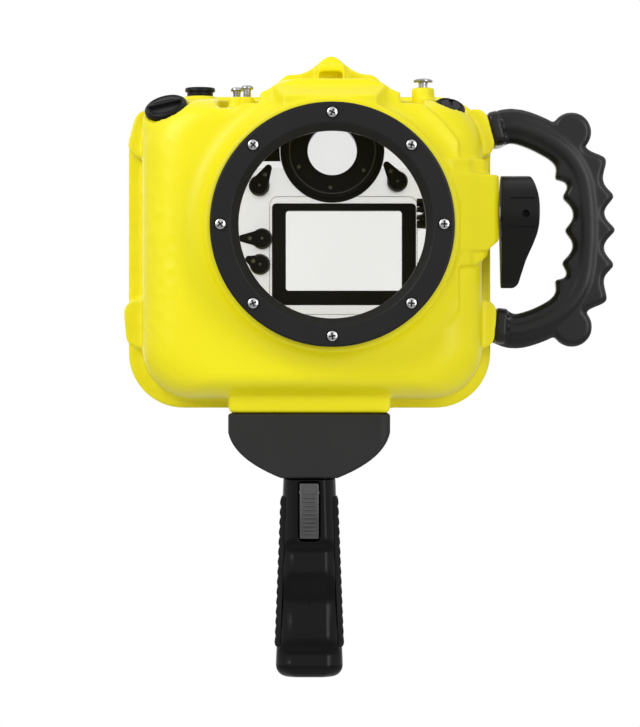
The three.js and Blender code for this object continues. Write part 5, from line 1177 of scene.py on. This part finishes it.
def bracket():
    """Block with curved lower sides, every edge eased."""
    top, bottom, side = bracket_high.z, bracket_low.z, bracket_high.x
    front = bracket_low.y
    start = Vector((BRACKET_FLAT, bottom))
    bend = Vector((side - BRACKET_BEND[0], bottom + BRACKET_BEND[1]))
    end = Vector((side, top - BRACKET_BEND[1]))
    shares = [step / BRACKET_STEPS for step in range(BRACKET_STEPS + 1)]
    curve = [start.lerp(bend, share).lerp(bend.lerp(end, share), share) for share in shares]
    right = [*curve, Vector((side, top))]
    left = [Vector((-point.x, point.y)) for point in reversed(right)]
    block = slab(right + left, front, bracket_high.y)
    facet = extruded(
        [(side + x, front + y, bottom - CUT) for x, y in FACET], UP * (top - bottom + 2 * CUT),
    )
    block = combined(block, [facet], "DIFFERENCE")
    round_edges(block, sharper(35), 1.2, 3)
    seats = [
        rod(BOLT_SEAT, bottom - CUT, top - 10, (BOLT_X * end, BOLT_Y, 0)) for end in (-1, 1)
    ]
    return combined(block, seats, "DIFFERENCE")


def grip_half(z):
    """Half width of the grip at a height."""
    share = (grip_high.z - z) / (grip_high.z - grip_low.z)
    return GRIP_TOP_HALF + (GRIP_BUTT_HALF - GRIP_TOP_HALF) * share


def finger_swell(z):
    """How much the front draws in between the swells for the fingers."""
    waves = 0.5 - 0.5 * math.cos((z - SWELL_TOP) / SWELL_PITCH * 2 * math.pi)
    fade = min(max((19 - z) / 6, 0), 1) * min(max((z + 46) / 6, 0), 1)
    return waves * fade * SWELL_DEPTH


def grip_station(z, inset):
    """Section of the grip at a height, drawn in at the butt."""
    half = grip_half(z) - inset
    deep = GRIP_HALF - inset

    def placed(point):
        x, y = point
        front = max(-y, 0) ** 3
        return Vector((x * half, y * deep + front * (finger_swell(z) + 4 * x * x), z))
    return placed


def rounded_square(corner):
    """Unit square with round corners, as points from the front left corner."""
    return [
        (x * (1 - corner) + round_x, y * (1 - corner) + round_y)
        for quarter, (x, y) in enumerate(((1, -1), (1, 1), (-1, 1), (-1, -1)))
        for round_x, round_y in arc(corner, (quarter - 1) * math.pi / 2, quarter * math.pi / 2, 8)
    ]


def side_panel_frame(side):
    """Frame of a side panel, whose outer face looks along its own X."""
    taper = math.atan2(grip_half(grip_low.z) - grip_half(grip_high.z), grip_high.z - grip_low.z)
    middle = PANEL_TOP - PANEL_HEIGHT / 2
    turn = Matrix.Rotation(0 if side > 0 else math.pi, 4, "Z")
    lift = Matrix.Translation((grip_half(middle), 0, middle))
    return turn @ lift @ Matrix.Rotation(-taper, 4, "Y")


def panel_seat(side):
    """Room for a side panel."""
    seat = rounded_box(
        (-2.3, -PANEL_DEPTH / 2 - PANEL_GAP, -PANEL_HEIGHT / 2 - PANEL_GAP),
        (4, PANEL_DEPTH / 2 + PANEL_GAP, PANEL_HEIGHT / 2 + PANEL_GAP), ALONG_X, 2,
    )
    return moved(seat, side_panel_frame(side))


def grip():
    """Grip with its recesses, cut while sharp and then eased."""
    heights = [grip_high.z - (grip_high.z - grip_low.z - BUTT_ROUND) * k / 40 for k in range(41)]
    stations = [grip_station(z, 0) for z in heights]
    for sine, rest in quarter_turn(8):
        stations.append(grip_station(grip_low.z + BUTT_ROUND * (1 - sine), BUTT_ROUND * rest))
    body = swept(rounded_square(GRIP_CORNER / GRIP_HALF), stations)
    ahead = -GRIP_HALF - TOOL_AHEAD
    face = rounded_box(
        (-FACE_HALF, ahead, FACE_HEIGHTS[0]), (FACE_HALF, -GRIP_HALF + FACE_DEPTH, FACE_HEIGHTS[1]),
        ALONG_Y, 7,
    )
    slot = box((-SLOT_HALF, ahead, SLOT_HEIGHTS[0]), (SLOT_HALF, SLOT_BACK, SLOT_HEIGHTS[1]))
    bolt_radius, bolt_depth = BOLT_ROOM
    bolt = rod(bolt_radius, grip_low.z - CUT, grip_low.z + bolt_depth, (0, GRIP_BOLT_Y, 0))
    cut = combined(body, [face, slot, bolt, panel_seat(-1), panel_seat(1)], "DIFFERENCE")
    seam = box(
        (-SEAM_HALF, ahead, SEAM_HEIGHTS[0]), (SEAM_HALF, -GRIP_HALF + SEAM_DEPTH, SEAM_HEIGHTS[1]),
    )
    return combined(moulded(cut, **GRIP_SKIN), [seam], "DIFFERENCE")


def ribbed_panel(side):
    """Rubber panel with round ribs across it."""
    half = PANEL_HEIGHT / 2
    crest = [
        (RIB_RISE[0] + RIB_RISE[1] * abs(math.sin(math.pi * step / RIB_STEPS)) ** 0.7,
         half - step / RIB_STEPS * RIB_PITCH)
        for step in range(RIB_COUNT * RIB_STEPS + 1)
    ]
    panel = slab([(-2, half), *crest, (-2, -half)], -PANEL_DEPTH / 2, PANEL_DEPTH / 2)
    return moved(panel, side_panel_frame(side))


BRACKET_BLACK = black_nylon("bracket_coating", 0.018, 0.026, 0.44, 0.18, 0.9, 0.05)
GRIP_BLACK = black_nylon("grip_nylon", 0.003, 0.006, 0.16, 0.13, 0.8, 0.02)
piece("bracket_block", bracket(), BRACKET_BLACK, "housing", "grey_black", "grip_bracket")
piece("grip_body", grip(), GRIP_BLACK, "housing", "black_plastic", "pistol_grip", crease=50)
for side, side_name in ((1, "right"), (-1, "left")):
    piece(f"ribbed_panel_{side_name}", ribbed_panel(side), RUBBER, "housing", "black_rubber",
          f"grip_panel_{side_name}")


# Trigger
# Grey moulded lever on a steel pin, with a smooth pad above and raised ribs below.

TRIGGER_HALF = 5
TRIGGER_FRONT = -GRIP_HALF - 3.8
TRIGGER_DISH = 2
TRIGGER_STEPS = 30
TRIGGER_SHOULDER = [(-10.6, -2.5), (-13.1, 0)]
TRIGGER_TOE = -13.6
TRIGGER_RIB_HALF = 3.5
TRIGGER_RIB_RISE = 0.75
TRIGGER_RIB_SHARES = [(0.13, 2.1), *[(0.25 + 0.072 * k, 0.55) for k in range(10)]]
trigger_low, trigger_high = span("trigger")


def trigger_lever():
    """Side view drawn across the lever, with round ribs."""
    top, bottom = trigger_high.z, trigger_low.z
    height = top - bottom

    def face_at(share):
        return TRIGGER_FRONT - TRIGGER_DISH * math.sin(math.pi * share)

    edge = [
        (face_at(step / TRIGGER_STEPS), top - height * step / TRIGGER_STEPS)
        for step in range(TRIGGER_STEPS + 1)
    ]
    shoulder = [(y, top + rise) for y, rise in TRIGGER_SHOULDER]
    outline = [*shoulder, *edge, (TRIGGER_TOE, bottom)]
    lever_body = extruded([(-TRIGGER_HALF, y, z) for y, z in outline], RIGHT * 2 * TRIGGER_HALF)
    round_edges(lever_body, sharper(50), 0.5, 3)
    raised = []
    for share, half_high in TRIGGER_RIB_SHARES:
        y, z = face_at(share), top - height * share
        low = (-TRIGGER_RIB_HALF, y - TRIGGER_RIB_RISE, z - half_high)
        rib = box(low, (TRIGGER_RIB_HALF, y + 1, z + half_high))
        raised.append(round_edges(rib, sharper(60), 0.35, 2))
    return combined(lever_body, raised, "UNION")


TRIGGER_GREY = two_greys("trigger_plastic", 0.05, 0.075, (0.8, 3.0), (0.2, 0.1), 0.5, (8, 3.0),
                         (0.02, 0.5))
piece("trigger_lever", trigger_lever(), TRIGGER_GREY, "trigger", "trigger_grey", "trigger")


# Zoom knob
# Large black knob with a tail for the thumb. It turns a crown gear inside through a sealed shaft.

knob_low, knob_high = span("zoom_knob")
KNOB_AXIS = Vector((knob_low.x, KNOB_Y, KNOB_Z))
KNOB_DISC = 20
KNOB_TAIL = 33.4
KNOB_TAIL_RADIUS = 6.6
KNOB_WIDTH = knob_high.x - knob_low.x
KNOB_BOTTOM = -KNOB_TAIL - KNOB_TAIL_RADIUS
KNOB_EDGE = [
    (6.8, KNOB_BOTTOM), (8.9, -38.2), (10.8, -32.5), (13.3, -24.6), (16.9, -16.2), (19.2, -9),
    (19.9, 1), (19.3, 9.3), (17.2, 17), (15.8, KNOB_DISC),
]
KNOB_RIM = [(10, -1.4), (11.2, -1.4), (11.2, 4), (10, 4)]
KNOB_LINES = [-7.9, 7.4]
KNOB_LINE_HALF = 0.45
KNOB_LINE_DEPTH = 2.8
KNOB_LINE_ENDS = (4.3, 17)
KNOB_HOLE_AT = (12.4, 0, -0.9)
KNOB_SKIN = {"voxel": 0.5, "passes": 8, "share": 0.5}


def knob():
    """Side view and front view cut into each other, then eased."""
    lean = math.acos((KNOB_DISC - KNOB_TAIL_RADIUS) / KNOB_TAIL)
    start, end = -math.pi / 2 + lean, 1.5 * math.pi - lean
    side = [(0, y, z) for y, z in arc(KNOB_DISC, start, end, 72)]
    side += [(0, y, z - KNOB_TAIL) for y, z in arc(KNOB_TAIL_RADIUS, end, end + 2 * lean, 16)]
    disc = extruded(side, RIGHT * KNOB_WIDTH)
    edge = curve_through([Vector(corner) for corner in KNOB_EDGE], 4)
    front = slab([(-1, KNOB_BOTTOM), *edge, (-1, KNOB_DISC)], -30, 30)
    soft = moulded(combined(disc, [front], "INTERSECT"), **KNOB_SKIN)
    hole = rod(2, KNOB_DISC - 5, KNOB_DISC + 4, KNOB_HOLE_AT, FORWARD, 32)
    left, right = KNOB_LINE_ENDS
    lines = [
        box((left, -KNOB_DISC - 2, z - KNOB_LINE_HALF),
            (right, -KNOB_DISC + KNOB_LINE_DEPTH, z + KNOB_LINE_HALF))
        for z in KNOB_LINES
    ]
    rim = turned([(radius, KNOB_WIDTH + out) for radius, out in KNOB_RIM], direction=RIGHT)
    return moved(combined(soft, [hole, *lines, rim], "DIFFERENCE"), Matrix.Translation(KNOB_AXIS))


piece("knob_body", knob(), SATIN_BLACK, "zoom_control", "black_plastic", "zoom_knob", crease=50)


# Buttons on top, and the corner plugs
# Plated mushroom buttons and a black shutter button slide in the bosses. Two black plugs, one with
# a raised bar and one with a slot, close the tilted bores at the upper corners.

def mushroom(cap, height, stem, tail, grooves):
    """Upright button: a thin domed cap on a stem with turned grooves."""
    profile = [(0, -tail), (stem, -tail)]
    for groove in grooves:
        profile += [(stem, groove - 0.25), (stem * 0.8, groove - 0.2), (stem * 0.8, groove + 0.2),
                    (stem, groove + 0.25)]
    profile += [(stem, 0), (cap * 0.94, 0), (cap, height * 0.16), (cap, height * 0.5)]
    profile += [
        (cap * math.cos(angle), height * (0.5 + 0.5 * math.sin(angle))) for angle in (0.5, 0.9, 1.2)
    ]
    return turned([*profile, (0, height)], steps=64)


# Chrome whose colour runs in lumps from near black to pale: painted reflection of dark and light
# surroundings.
CHROME_PAINTED_REFLECTION = grained("chrome_painted_reflection", (0.1, 0.1, 0.1), (0.55, 0.54, 0.52), (1.6, 2.0), (0.16, 0.1),
                 {"Metallic": 1.0})
PAIR_GROOVES = [-3.4, -2.4, -1.4]
TOP_BUTTONS = {
    "top_button_1": {"at": (*PAIR[0], 260), "shape": (3.3, 2.5, 2.2, 20, PAIR_GROOVES)},
    "top_button_2": {"at": (*PAIR[1], 260), "shape": (3.3, 2.5, 2.2, 20, PAIR_GROOVES)},
    "top_button_3": {"at": (*RIGHT_AT, 264.1), "shape": (5.2, 2.5, 2.6, 24.1, [-2, -1.1])},
}
for name, button in TOP_BUTTONS.items():
    cap = moved(mushroom(*button["shape"]), Matrix.Translation(button["at"]))
    piece(f"{name}_cap", cap, CHROME_PAINTED_REFLECTION, name, "steel", name)

SHUTTER_Z = 259.7
SHUTTER_PROFILE = [
    (0, -19.4), (3, -19.4), (3, -2.8), (7, -2.8), (7, -0.1), (7.7, 0), (8.1, 0.3), (8.1, 1.7),
    (7.7, 2.2), (7.1, 2.4), (5.9, 2.4), (5.6, 2.1), (0, 2),
]
shutter = turned(SHUTTER_PROFILE, (*SHUTTER_AT, SHUTTER_Z))
piece("shutter_cap", shutter, SATIN_BLACK, "shutter_button", "black_plastic", "shutter_button")

PLUG_TAIL = 9
PLUG_BAR = (1.7, 2, 5.5)
PLUG_SEAT_GAP = 0.3
PLUG_RIM = [
    (0.3, 0), (0, 0.4), (0, 2.3), (0.35, 2.9), (1.1, 3.5), (1.5, 3.5), (1.9, 2.9), (2.6, 2.9),
    (3, 3.5),
]


def plug_head(plug, bar):
    """Plug on its seat: a stepped disc with a raised bar or a slot."""
    radius = plug["diameter"] / 2
    stem = radius * PLUG_STEM_SHARE
    rim = [(radius - inset, height) for inset, height in PLUG_RIM]
    head = turned([(0, -PLUG_TAIL), (stem, -PLUG_TAIL), (stem, 0), *rim, (0, 3.6)])
    if bar:
        half, low, high = PLUG_BAR
        reach = radius * 0.78
        grip_bar = rounded_box((-reach, -half, low), (reach, half, high), ALONG_Z, 1.3, 6)
        round_edges(grip_bar, sharper(60), 0.5, 3)
        head = combined(head, [grip_bar], "UNION")
        slot = rounded_box((-radius * 0.5, -0.5, 4.7), (radius * 0.5, 0.5, 9), ALONG_Z, 0.4, 4)
    else:
        slot = rounded_box((-1.1, -1.6, 2), (1.1, radius * 0.95, 9), ALONG_Z, 1, 6)
    aim = plug_direction(plug["side"])
    seated = standing(aim, plug["at"] + aim * PLUG_SEAT_GAP)
    return moved(combined(head, [slot], "DIFFERENCE"), seated)


for name, plug in (("left_plug", LEFT_PLUG), ("right_plug", RIGHT_PLUG)):
    head = plug_head(plug, plug is LEFT_PLUG)
    piece(f"{name}_head", head, SATIN_BLACK, "housing", "black_plastic", name)


# Back cover
# Thick clear acrylic plate with the flange's outline, polished edges, a rear seal under it, a black
# screen mask inside and a pale label sheet outside.

FINDER_X = 12.4
FINDER_Z = 230.3
FINDER = Vector((FINDER_X, 0, FINDER_Z))
SCREEN_X = 18.75
SCREEN_Z = 175.5
SCREEN_HALF = Vector((31.75, 0, 21.8))
SCREEN_CORNER = 1.6
LABEL_REACH = 40
LABEL_STEP = 12.5
LABEL_CORNER = 4
THROUGH = (30, 60)
THUMB_PLACES = {
    "thumb_screw_1": (PEAK_X, 273), "thumb_screw_2": (83.6, 244.2), "thumb_screw_3": (83.6, 104.6),
    "thumb_screw_4": (0, 94.5), "thumb_screw_5": (-83.6, 104.6), "thumb_screw_6": (-83.6, 244.2),
}
KEYS = [
    {"node": "1", "left": 46.35, "up": 35.8, "reach": 10.7, "turn": 61.5},
    {"node": "2", "left": -29.35, "up": 38.1, "reach": 10.6, "turn": 124},
    {"node": "3", "left": 44.85, "up": 6.7, "reach": 10.9, "turn": 180},
    {"node": "4", "left": 45.95, "up": -7.4, "reach": 6.65, "turn": 156},
]


def key_axis(key):
    """Middle of a key's bore."""
    return Vector((SCREEN_X - key["left"], 0, SCREEN_Z + key["up"]))


def flange_outline():
    """The flange's outline in X and Z: round corners, and the hump on top."""
    points = []
    reach_x, low_z, high_z = FLANGE_HALF - FLANGE_CORNER, FLANGE_BOTTOM, FLANGE_TOP
    middles = [
        (-reach_x, low_z + FLANGE_CORNER), (reach_x, low_z + FLANGE_CORNER),
        (reach_x, high_z - FLANGE_CORNER), (-reach_x, high_z - FLANGE_CORNER),
    ]
    for quarter, (x, z) in enumerate(middles):
        if quarter == 3:
            points += hump_points(0, FLANGE_TOP, PEAK_RISE)[2:]
        start = (quarter - 2) * math.pi / 2
        points += [
            (x + round_x, z + round_z)
            for round_x, round_z in arc(FLANGE_CORNER, start, start + math.pi / 2, 12)
        ]
    return points


def cover_holes(key_radius, finder_radius):
    """Rods through the cover, where its keys and its finder are."""
    holes = [rod(key_radius, *THROUGH, key_axis(key), REARWARD, 32) for key in KEYS]
    return [*holes, rod(finder_radius, *THROUGH, FINDER, REARWARD, 96)]


def clear_plate():
    """Cover plate with its bores."""
    plate = slab(flange_outline(), cover_low.y, cover_high.y)
    round_edges(plate, sharper(70), 0.9, 3)
    bores = [rod(2.3, *THROUGH, (x, 0, z), REARWARD, 32) for x, z in THUMB_PLACES.values()]
    return combined(plate, [*cover_holes(2.8, 16.8), *bores], "DIFFERENCE")


def clear_acrylic(facing, edge):
    """Clear acrylic: nearly unseen face on, brighter at a slant and at its edges."""
    finish = Finish("clear_acrylic")
    slant = finish.node("ShaderNodeLayerWeight", {}, {"Blend": 0.35}, "Facing")
    haze = finish.noise(25, 3.0)
    return finish.surface(
        {"Base Color": (0.86, 0.9, 0.91, 1), "Specular IOR Level": 0.5},
        Alpha=facing + slant * slant * edge, Roughness=0.04 + haze * 0.04,
    )


CLEAR = clear_acrylic(0.13, 0.45)
piece("cover_plate", clear_plate(), CLEAR, "cover", "clear", "back_cover", crease=30)
piece("rear_seal_ring", mouth_band(1.8, 4.8, 2.6, 0), RUBBER, "housing", "black_rubber", "rear_seal")


def window_block(edges, front, rear, corner):
    """Rounded block between two places along Y, from its left, right, lower and upper edge."""
    left, right, low, high = edges
    return rounded_box((left, front, low), (right, rear, high), ALONG_Y, corner)


def frame_plate(outer, corner, hole, hole_corner, front, rear):
    """Rounded plate in X and Z with a rounded window."""
    plate = window_block(outer, front, rear, corner)
    return combined(plate, [window_block(hole, front - CUT, rear + CUT, hole_corner)], "DIFFERENCE")


mask_low, mask_high = span("screen_mask")
MASK = (mask_low.x, mask_high.x, mask_low.z, mask_high.z)
SCREEN = (
    SCREEN_X - SCREEN_HALF.x, SCREEN_X + SCREEN_HALF.x,
    SCREEN_Z - SCREEN_HALF.z, SCREEN_Z + SCREEN_HALF.z,
)
mask = frame_plate(MASK, 2.4, SCREEN, SCREEN_CORNER, mask_low.y, mask_high.y)
round_edges(mask, sharper(70), 0.25, 2)
piece("mask_frame", mask, SATIN_BLACK, "cover", "black_plastic", "screen_mask")

panel_low, panel_high = span("control_panel")


def label_sheet():
    """Label sheet with its ear, the screen and the finder left open."""
    right = SCREEN_X + LABEL_REACH
    left, bottom, top, step = panel_low.x, panel_low.z, panel_high.z, SCREEN_Z + LABEL_STEP
    outline = [
        (left, bottom), (right, bottom), (right, step), (panel_high.x, step), (panel_high.x, top),
        (left, top),
    ]
    sheet = slab(outline, panel_low.y, panel_high.y)
    round_edges(sheet, along(ALONG_Y), LABEL_CORNER, 6)
    window = window_block(SCREEN, *THROUGH, SCREEN_CORNER)
    return combined(sheet, [*cover_holes(2.9, 21.5), window], "DIFFERENCE")


LABEL_FILM = grained(
    "label_film", (0.64, 0.64, 0.65), (0.72, 0.72, 0.72), (0.6, 3.0), (0.7, 0.1),
    {"Specular IOR Level": 0.3, "Transmission Weight": 0.75, "Alpha": 0.5},
    (30, 2.0), (30, 2.0), (0.02, 0.4),
)
piece("label_sheet", label_sheet(), LABEL_FILM, "cover", "label_grey", "control_panel")


def mask_let_out(left, right, bottom, top):
    """The mask's edges, let out on each side."""
    return (MASK[0] - left, MASK[1] + right, MASK[2] - bottom, MASK[3] + top)


# Thin black frame just outside the cover's rear face, let out round the screen mask.
line = frame_plate(
    mask_let_out(1.6, 1.1, 5, 4.5), 5, mask_let_out(1.3, 0.8, 4.7, 4.2), 4.7,
    cover_high.y + 0.05, cover_high.y + 0.25,
)
piece("mask_outline_frame", line, BRACKET_BLACK, "cover", "black_plastic")


# Viewfinder
# Black ring screwed inside the cover over a clear window, with a bright bezel line, and a rubber
# eye cup outside.

FINDER_PROFILE = [
    (13.5, 0.2), (13.8, 0), (22.9, 0), (23.1, 0.7), (23.9, 0.7), (24.1, 0.1), (26.1, 0.1),
    (26.3, 0.5), (26.7, 0.5), (26.9, 0), (28.2, 0), (28.5, 0.3), (28.5, 3.7), (16.5, 3.7),
    (16.5, 16), (15.3, 16), (15.3, 13), (13.5, 13),
]
BEZEL_PROFILE = [(23.25, 0.3), (23.7, 0.3), (23.7, 0.68), (23.25, 0.68)]
WINDOW_PROFILE = [(0, 0), (14.6, 0), (15, 0.3), (15, 2.4), (14.6, 2.7), (0, 2.7)]
CUP_PROFILE = [(15.5, 0), (20, 0), (20, 4), (19.2, 8), (18, 11), (16.5, 11), (15.5, 8)]
FINDER_SCREW_CIRCLE = 20.3


def finder_piece(profile, node, steps=96):
    """Piece turned about the finder's axis, from the front of a CAD node."""
    return turned(profile, FINDER + REARWARD * span(node)[0].y, REARWARD, steps)


piece("finder_ring_turned", finder_piece(FINDER_PROFILE, "viewfinder_ring", 128), SATIN_BLACK,
      "cover", "black_plastic", "viewfinder_ring")
DULL = grained("dull_steel", (0.07, 0.07, 0.07), (0.14, 0.14, 0.14), (0.5, 3.0), (0.35, 0.2),
               {"Metallic": 0.9})
piece("finder_bezel", finder_piece(BEZEL_PROFILE, "viewfinder_ring", 128), DULL, "cover", "steel")
finder_screws = [
    standing(FORWARD, FINDER + Vector((
        FINDER_SCREW_CIRCLE * math.sin(math.radians(turn)), span("viewfinder_ring")[0].y,
        -FINDER_SCREW_CIRCLE * math.cos(math.radians(turn)),
    )))
    for turn in (-64, -3, 58)
]
piece("finder_screws", copied(screw(1.1, 0.3, 0.6, 2), finder_screws), DULL, "cover", "steel")
piece("finder_window", finder_piece(WINDOW_PROFILE, "viewfinder_window"), CLEAR, "cover", "clear",
      "viewfinder_window")
piece("eye_cup", finder_piece(eased(CUP_PROFILE, 0.9), "viewfinder_cup"), RUBBER, "cover",
      "black_rubber", "viewfinder_cup")


def soft_pad():
    """Pad beside the finder, with the ring's round edge cut out of it."""
    low, high = span("camera_pad")
    block = rounded_box(low, (FINDER_X, high.y, high.z), ALONG_Y, 2)
    pad = combined(block, [rod(28.8, 30, 42, FINDER, REARWARD, 96)], "DIFFERENCE")
    for loose in [vertex for vertex in pad.verts if vertex.co.x > high.x + 1]:
        pad.verts.remove(loose)
    return pad


piece("soft_pad", soft_pad(), RUBBER, "cover", "black_rubber", "camera_pad")


# Rear buttons
# Black caps outside the cover on steel shafts, each with a black lever inside that reaches to a
# button of the camera.

LEVER_HUB = 4.9
LEVER_TIP = 1.9
LEVER_THICKNESS = 2.6
KEY_CAP = (5.4, 4.4, 2.45, 21.6, [-2.6])
KEY_CAP_HEIGHT = 4.5
GLAND_PROFILE = [(3.2, 0), (5.3, 0), (5.7, 0.4), (5.7, 1.2), (3.2, 1.2)]
GLAND_GAP = 1.3
lever_front = span("button_lever_1")[0].y


def lever(reach):
    """Lever along X: a round hub that tapers to a round tip."""
    lean = math.acos((LEVER_HUB - LEVER_TIP) / reach)
    outline = [(x, y, 0) for x, y in arc(LEVER_HUB, lean, 2 * math.pi - lean, 36)]
    outline += [(reach + x, y, 0) for x, y in arc(LEVER_TIP, -lean, lean, 12)]
    return round_edges(extruded(outline, UP * LEVER_THICKNESS), sharper(60), 0.45, 3)


for key in KEYS:
    name = key["node"]
    body = f"rear_button_{name}"
    axis = key_axis(key)
    rest = span(body)[1].y - KEY_CAP_HEIGHT
    cap = moved(mushroom(*KEY_CAP), standing(REARWARD, axis + REARWARD * rest))
    piece(f"{body}_cap", cap, SATIN_BLACK, body, "black_plastic", body)
    turn = math.radians(key["turn"])
    flat = Matrix.Rotation(-turn, 4, "Y") @ Matrix.Rotation(math.pi / 2, 4, "X")
    seat = Matrix.Translation(axis + REARWARD * (lever_front + LEVER_THICKNESS))
    piece(f"lever_{name}", moved(lever(key["reach"]), seat @ flat), SATIN_BLACK, body,
          "black_plastic", f"button_lever_{name}")
    front = axis + REARWARD * lever_front
    arm = Vector((math.cos(turn), 0, math.sin(turn))) * key["reach"] * 0.62
    fixings = merged([
        copied(screw(0.8, 0.25, 0.4, 1), [standing(FORWARD, front, turn)]),
        copied(screw(1.2, 0.35, 0.5, 1), [standing(FORWARD, front + arm, turn)]),
    ])
    piece(f"lever_screws_{name}", fixings, DULL, body, "steel")
    gland = turned(GLAND_PROFILE, axis + REARWARD * (cover_low.y - GLAND_GAP), REARWARD, 64)
    piece(f"gland_{name}", gland, TRIGGER_GREY, "cover", "steel")


# Thumb screws
# Captive plated screws with lobed heads that clamp the cover to the flange.

THUMB_RADIUS = 7.75
THUMB_LOBE = 1.1
THUMB_LOBES = 7
THUMB_HEAD = (1.5, 6.5)
THUMB_GAP = 0.3
THUMB_STEM = [(0, -21.3), (2, -21.3), (2, 0), (4.5, 0), (4.5, 3), (0, 3)]
THUMB_DISH = [(0, 7.5), (4.4, 7.5), (5, 8.1), (5, 12), (0, 12)]


def thumb_screw():
    """Upright screw: a lobed head over a collar and a shank."""
    outline = []
    low, height = THUMB_HEAD
    for angle in even_angles(112):
        radius = THUMB_RADIUS - THUMB_LOBE * (0.5 + 0.5 * math.cos(THUMB_LOBES * angle)) ** 3
        outline.append((radius * math.cos(angle), radius * math.sin(angle), low))
    head = round_edges(extruded(outline, UP * height), sharper(60), 0.6, 3)
    whole = combined(head, [turned(THUMB_STEM, steps=48)], "UNION")
    return combined(whole, [turned(THUMB_DISH, steps=64)], "DIFFERENCE")


for name, (x, z) in THUMB_PLACES.items():
    made = moved(thumb_screw(), standing(REARWARD, (x, cover_high.y + THUMB_GAP, z)))
    piece(f"{name}_head", made, STEEL, name, "steel", name)


# Pieces kept from the solids
# Gear, shaft, bush, pins, seals and inner screws are already right in shape.

KEPT = {
    "crown_gear": SATIN_BLACK, "knob_shaft": STEEL, "knob_bush": ANODISED, "port_seal": RUBBER,
    "camera_tray": ANODISED, "tray_screw": STEEL, "bracket_bolt_1": STEEL, "bracket_bolt_2": STEEL,
    "grip_bolt": STEEL, "trigger_pin": STEEL, "trigger_switch": SATIN_BLACK,
}
for node, material in KEPT.items():
    kept = bpy.data.objects[node]
    for place in kept.material_slots:
        place.material = material
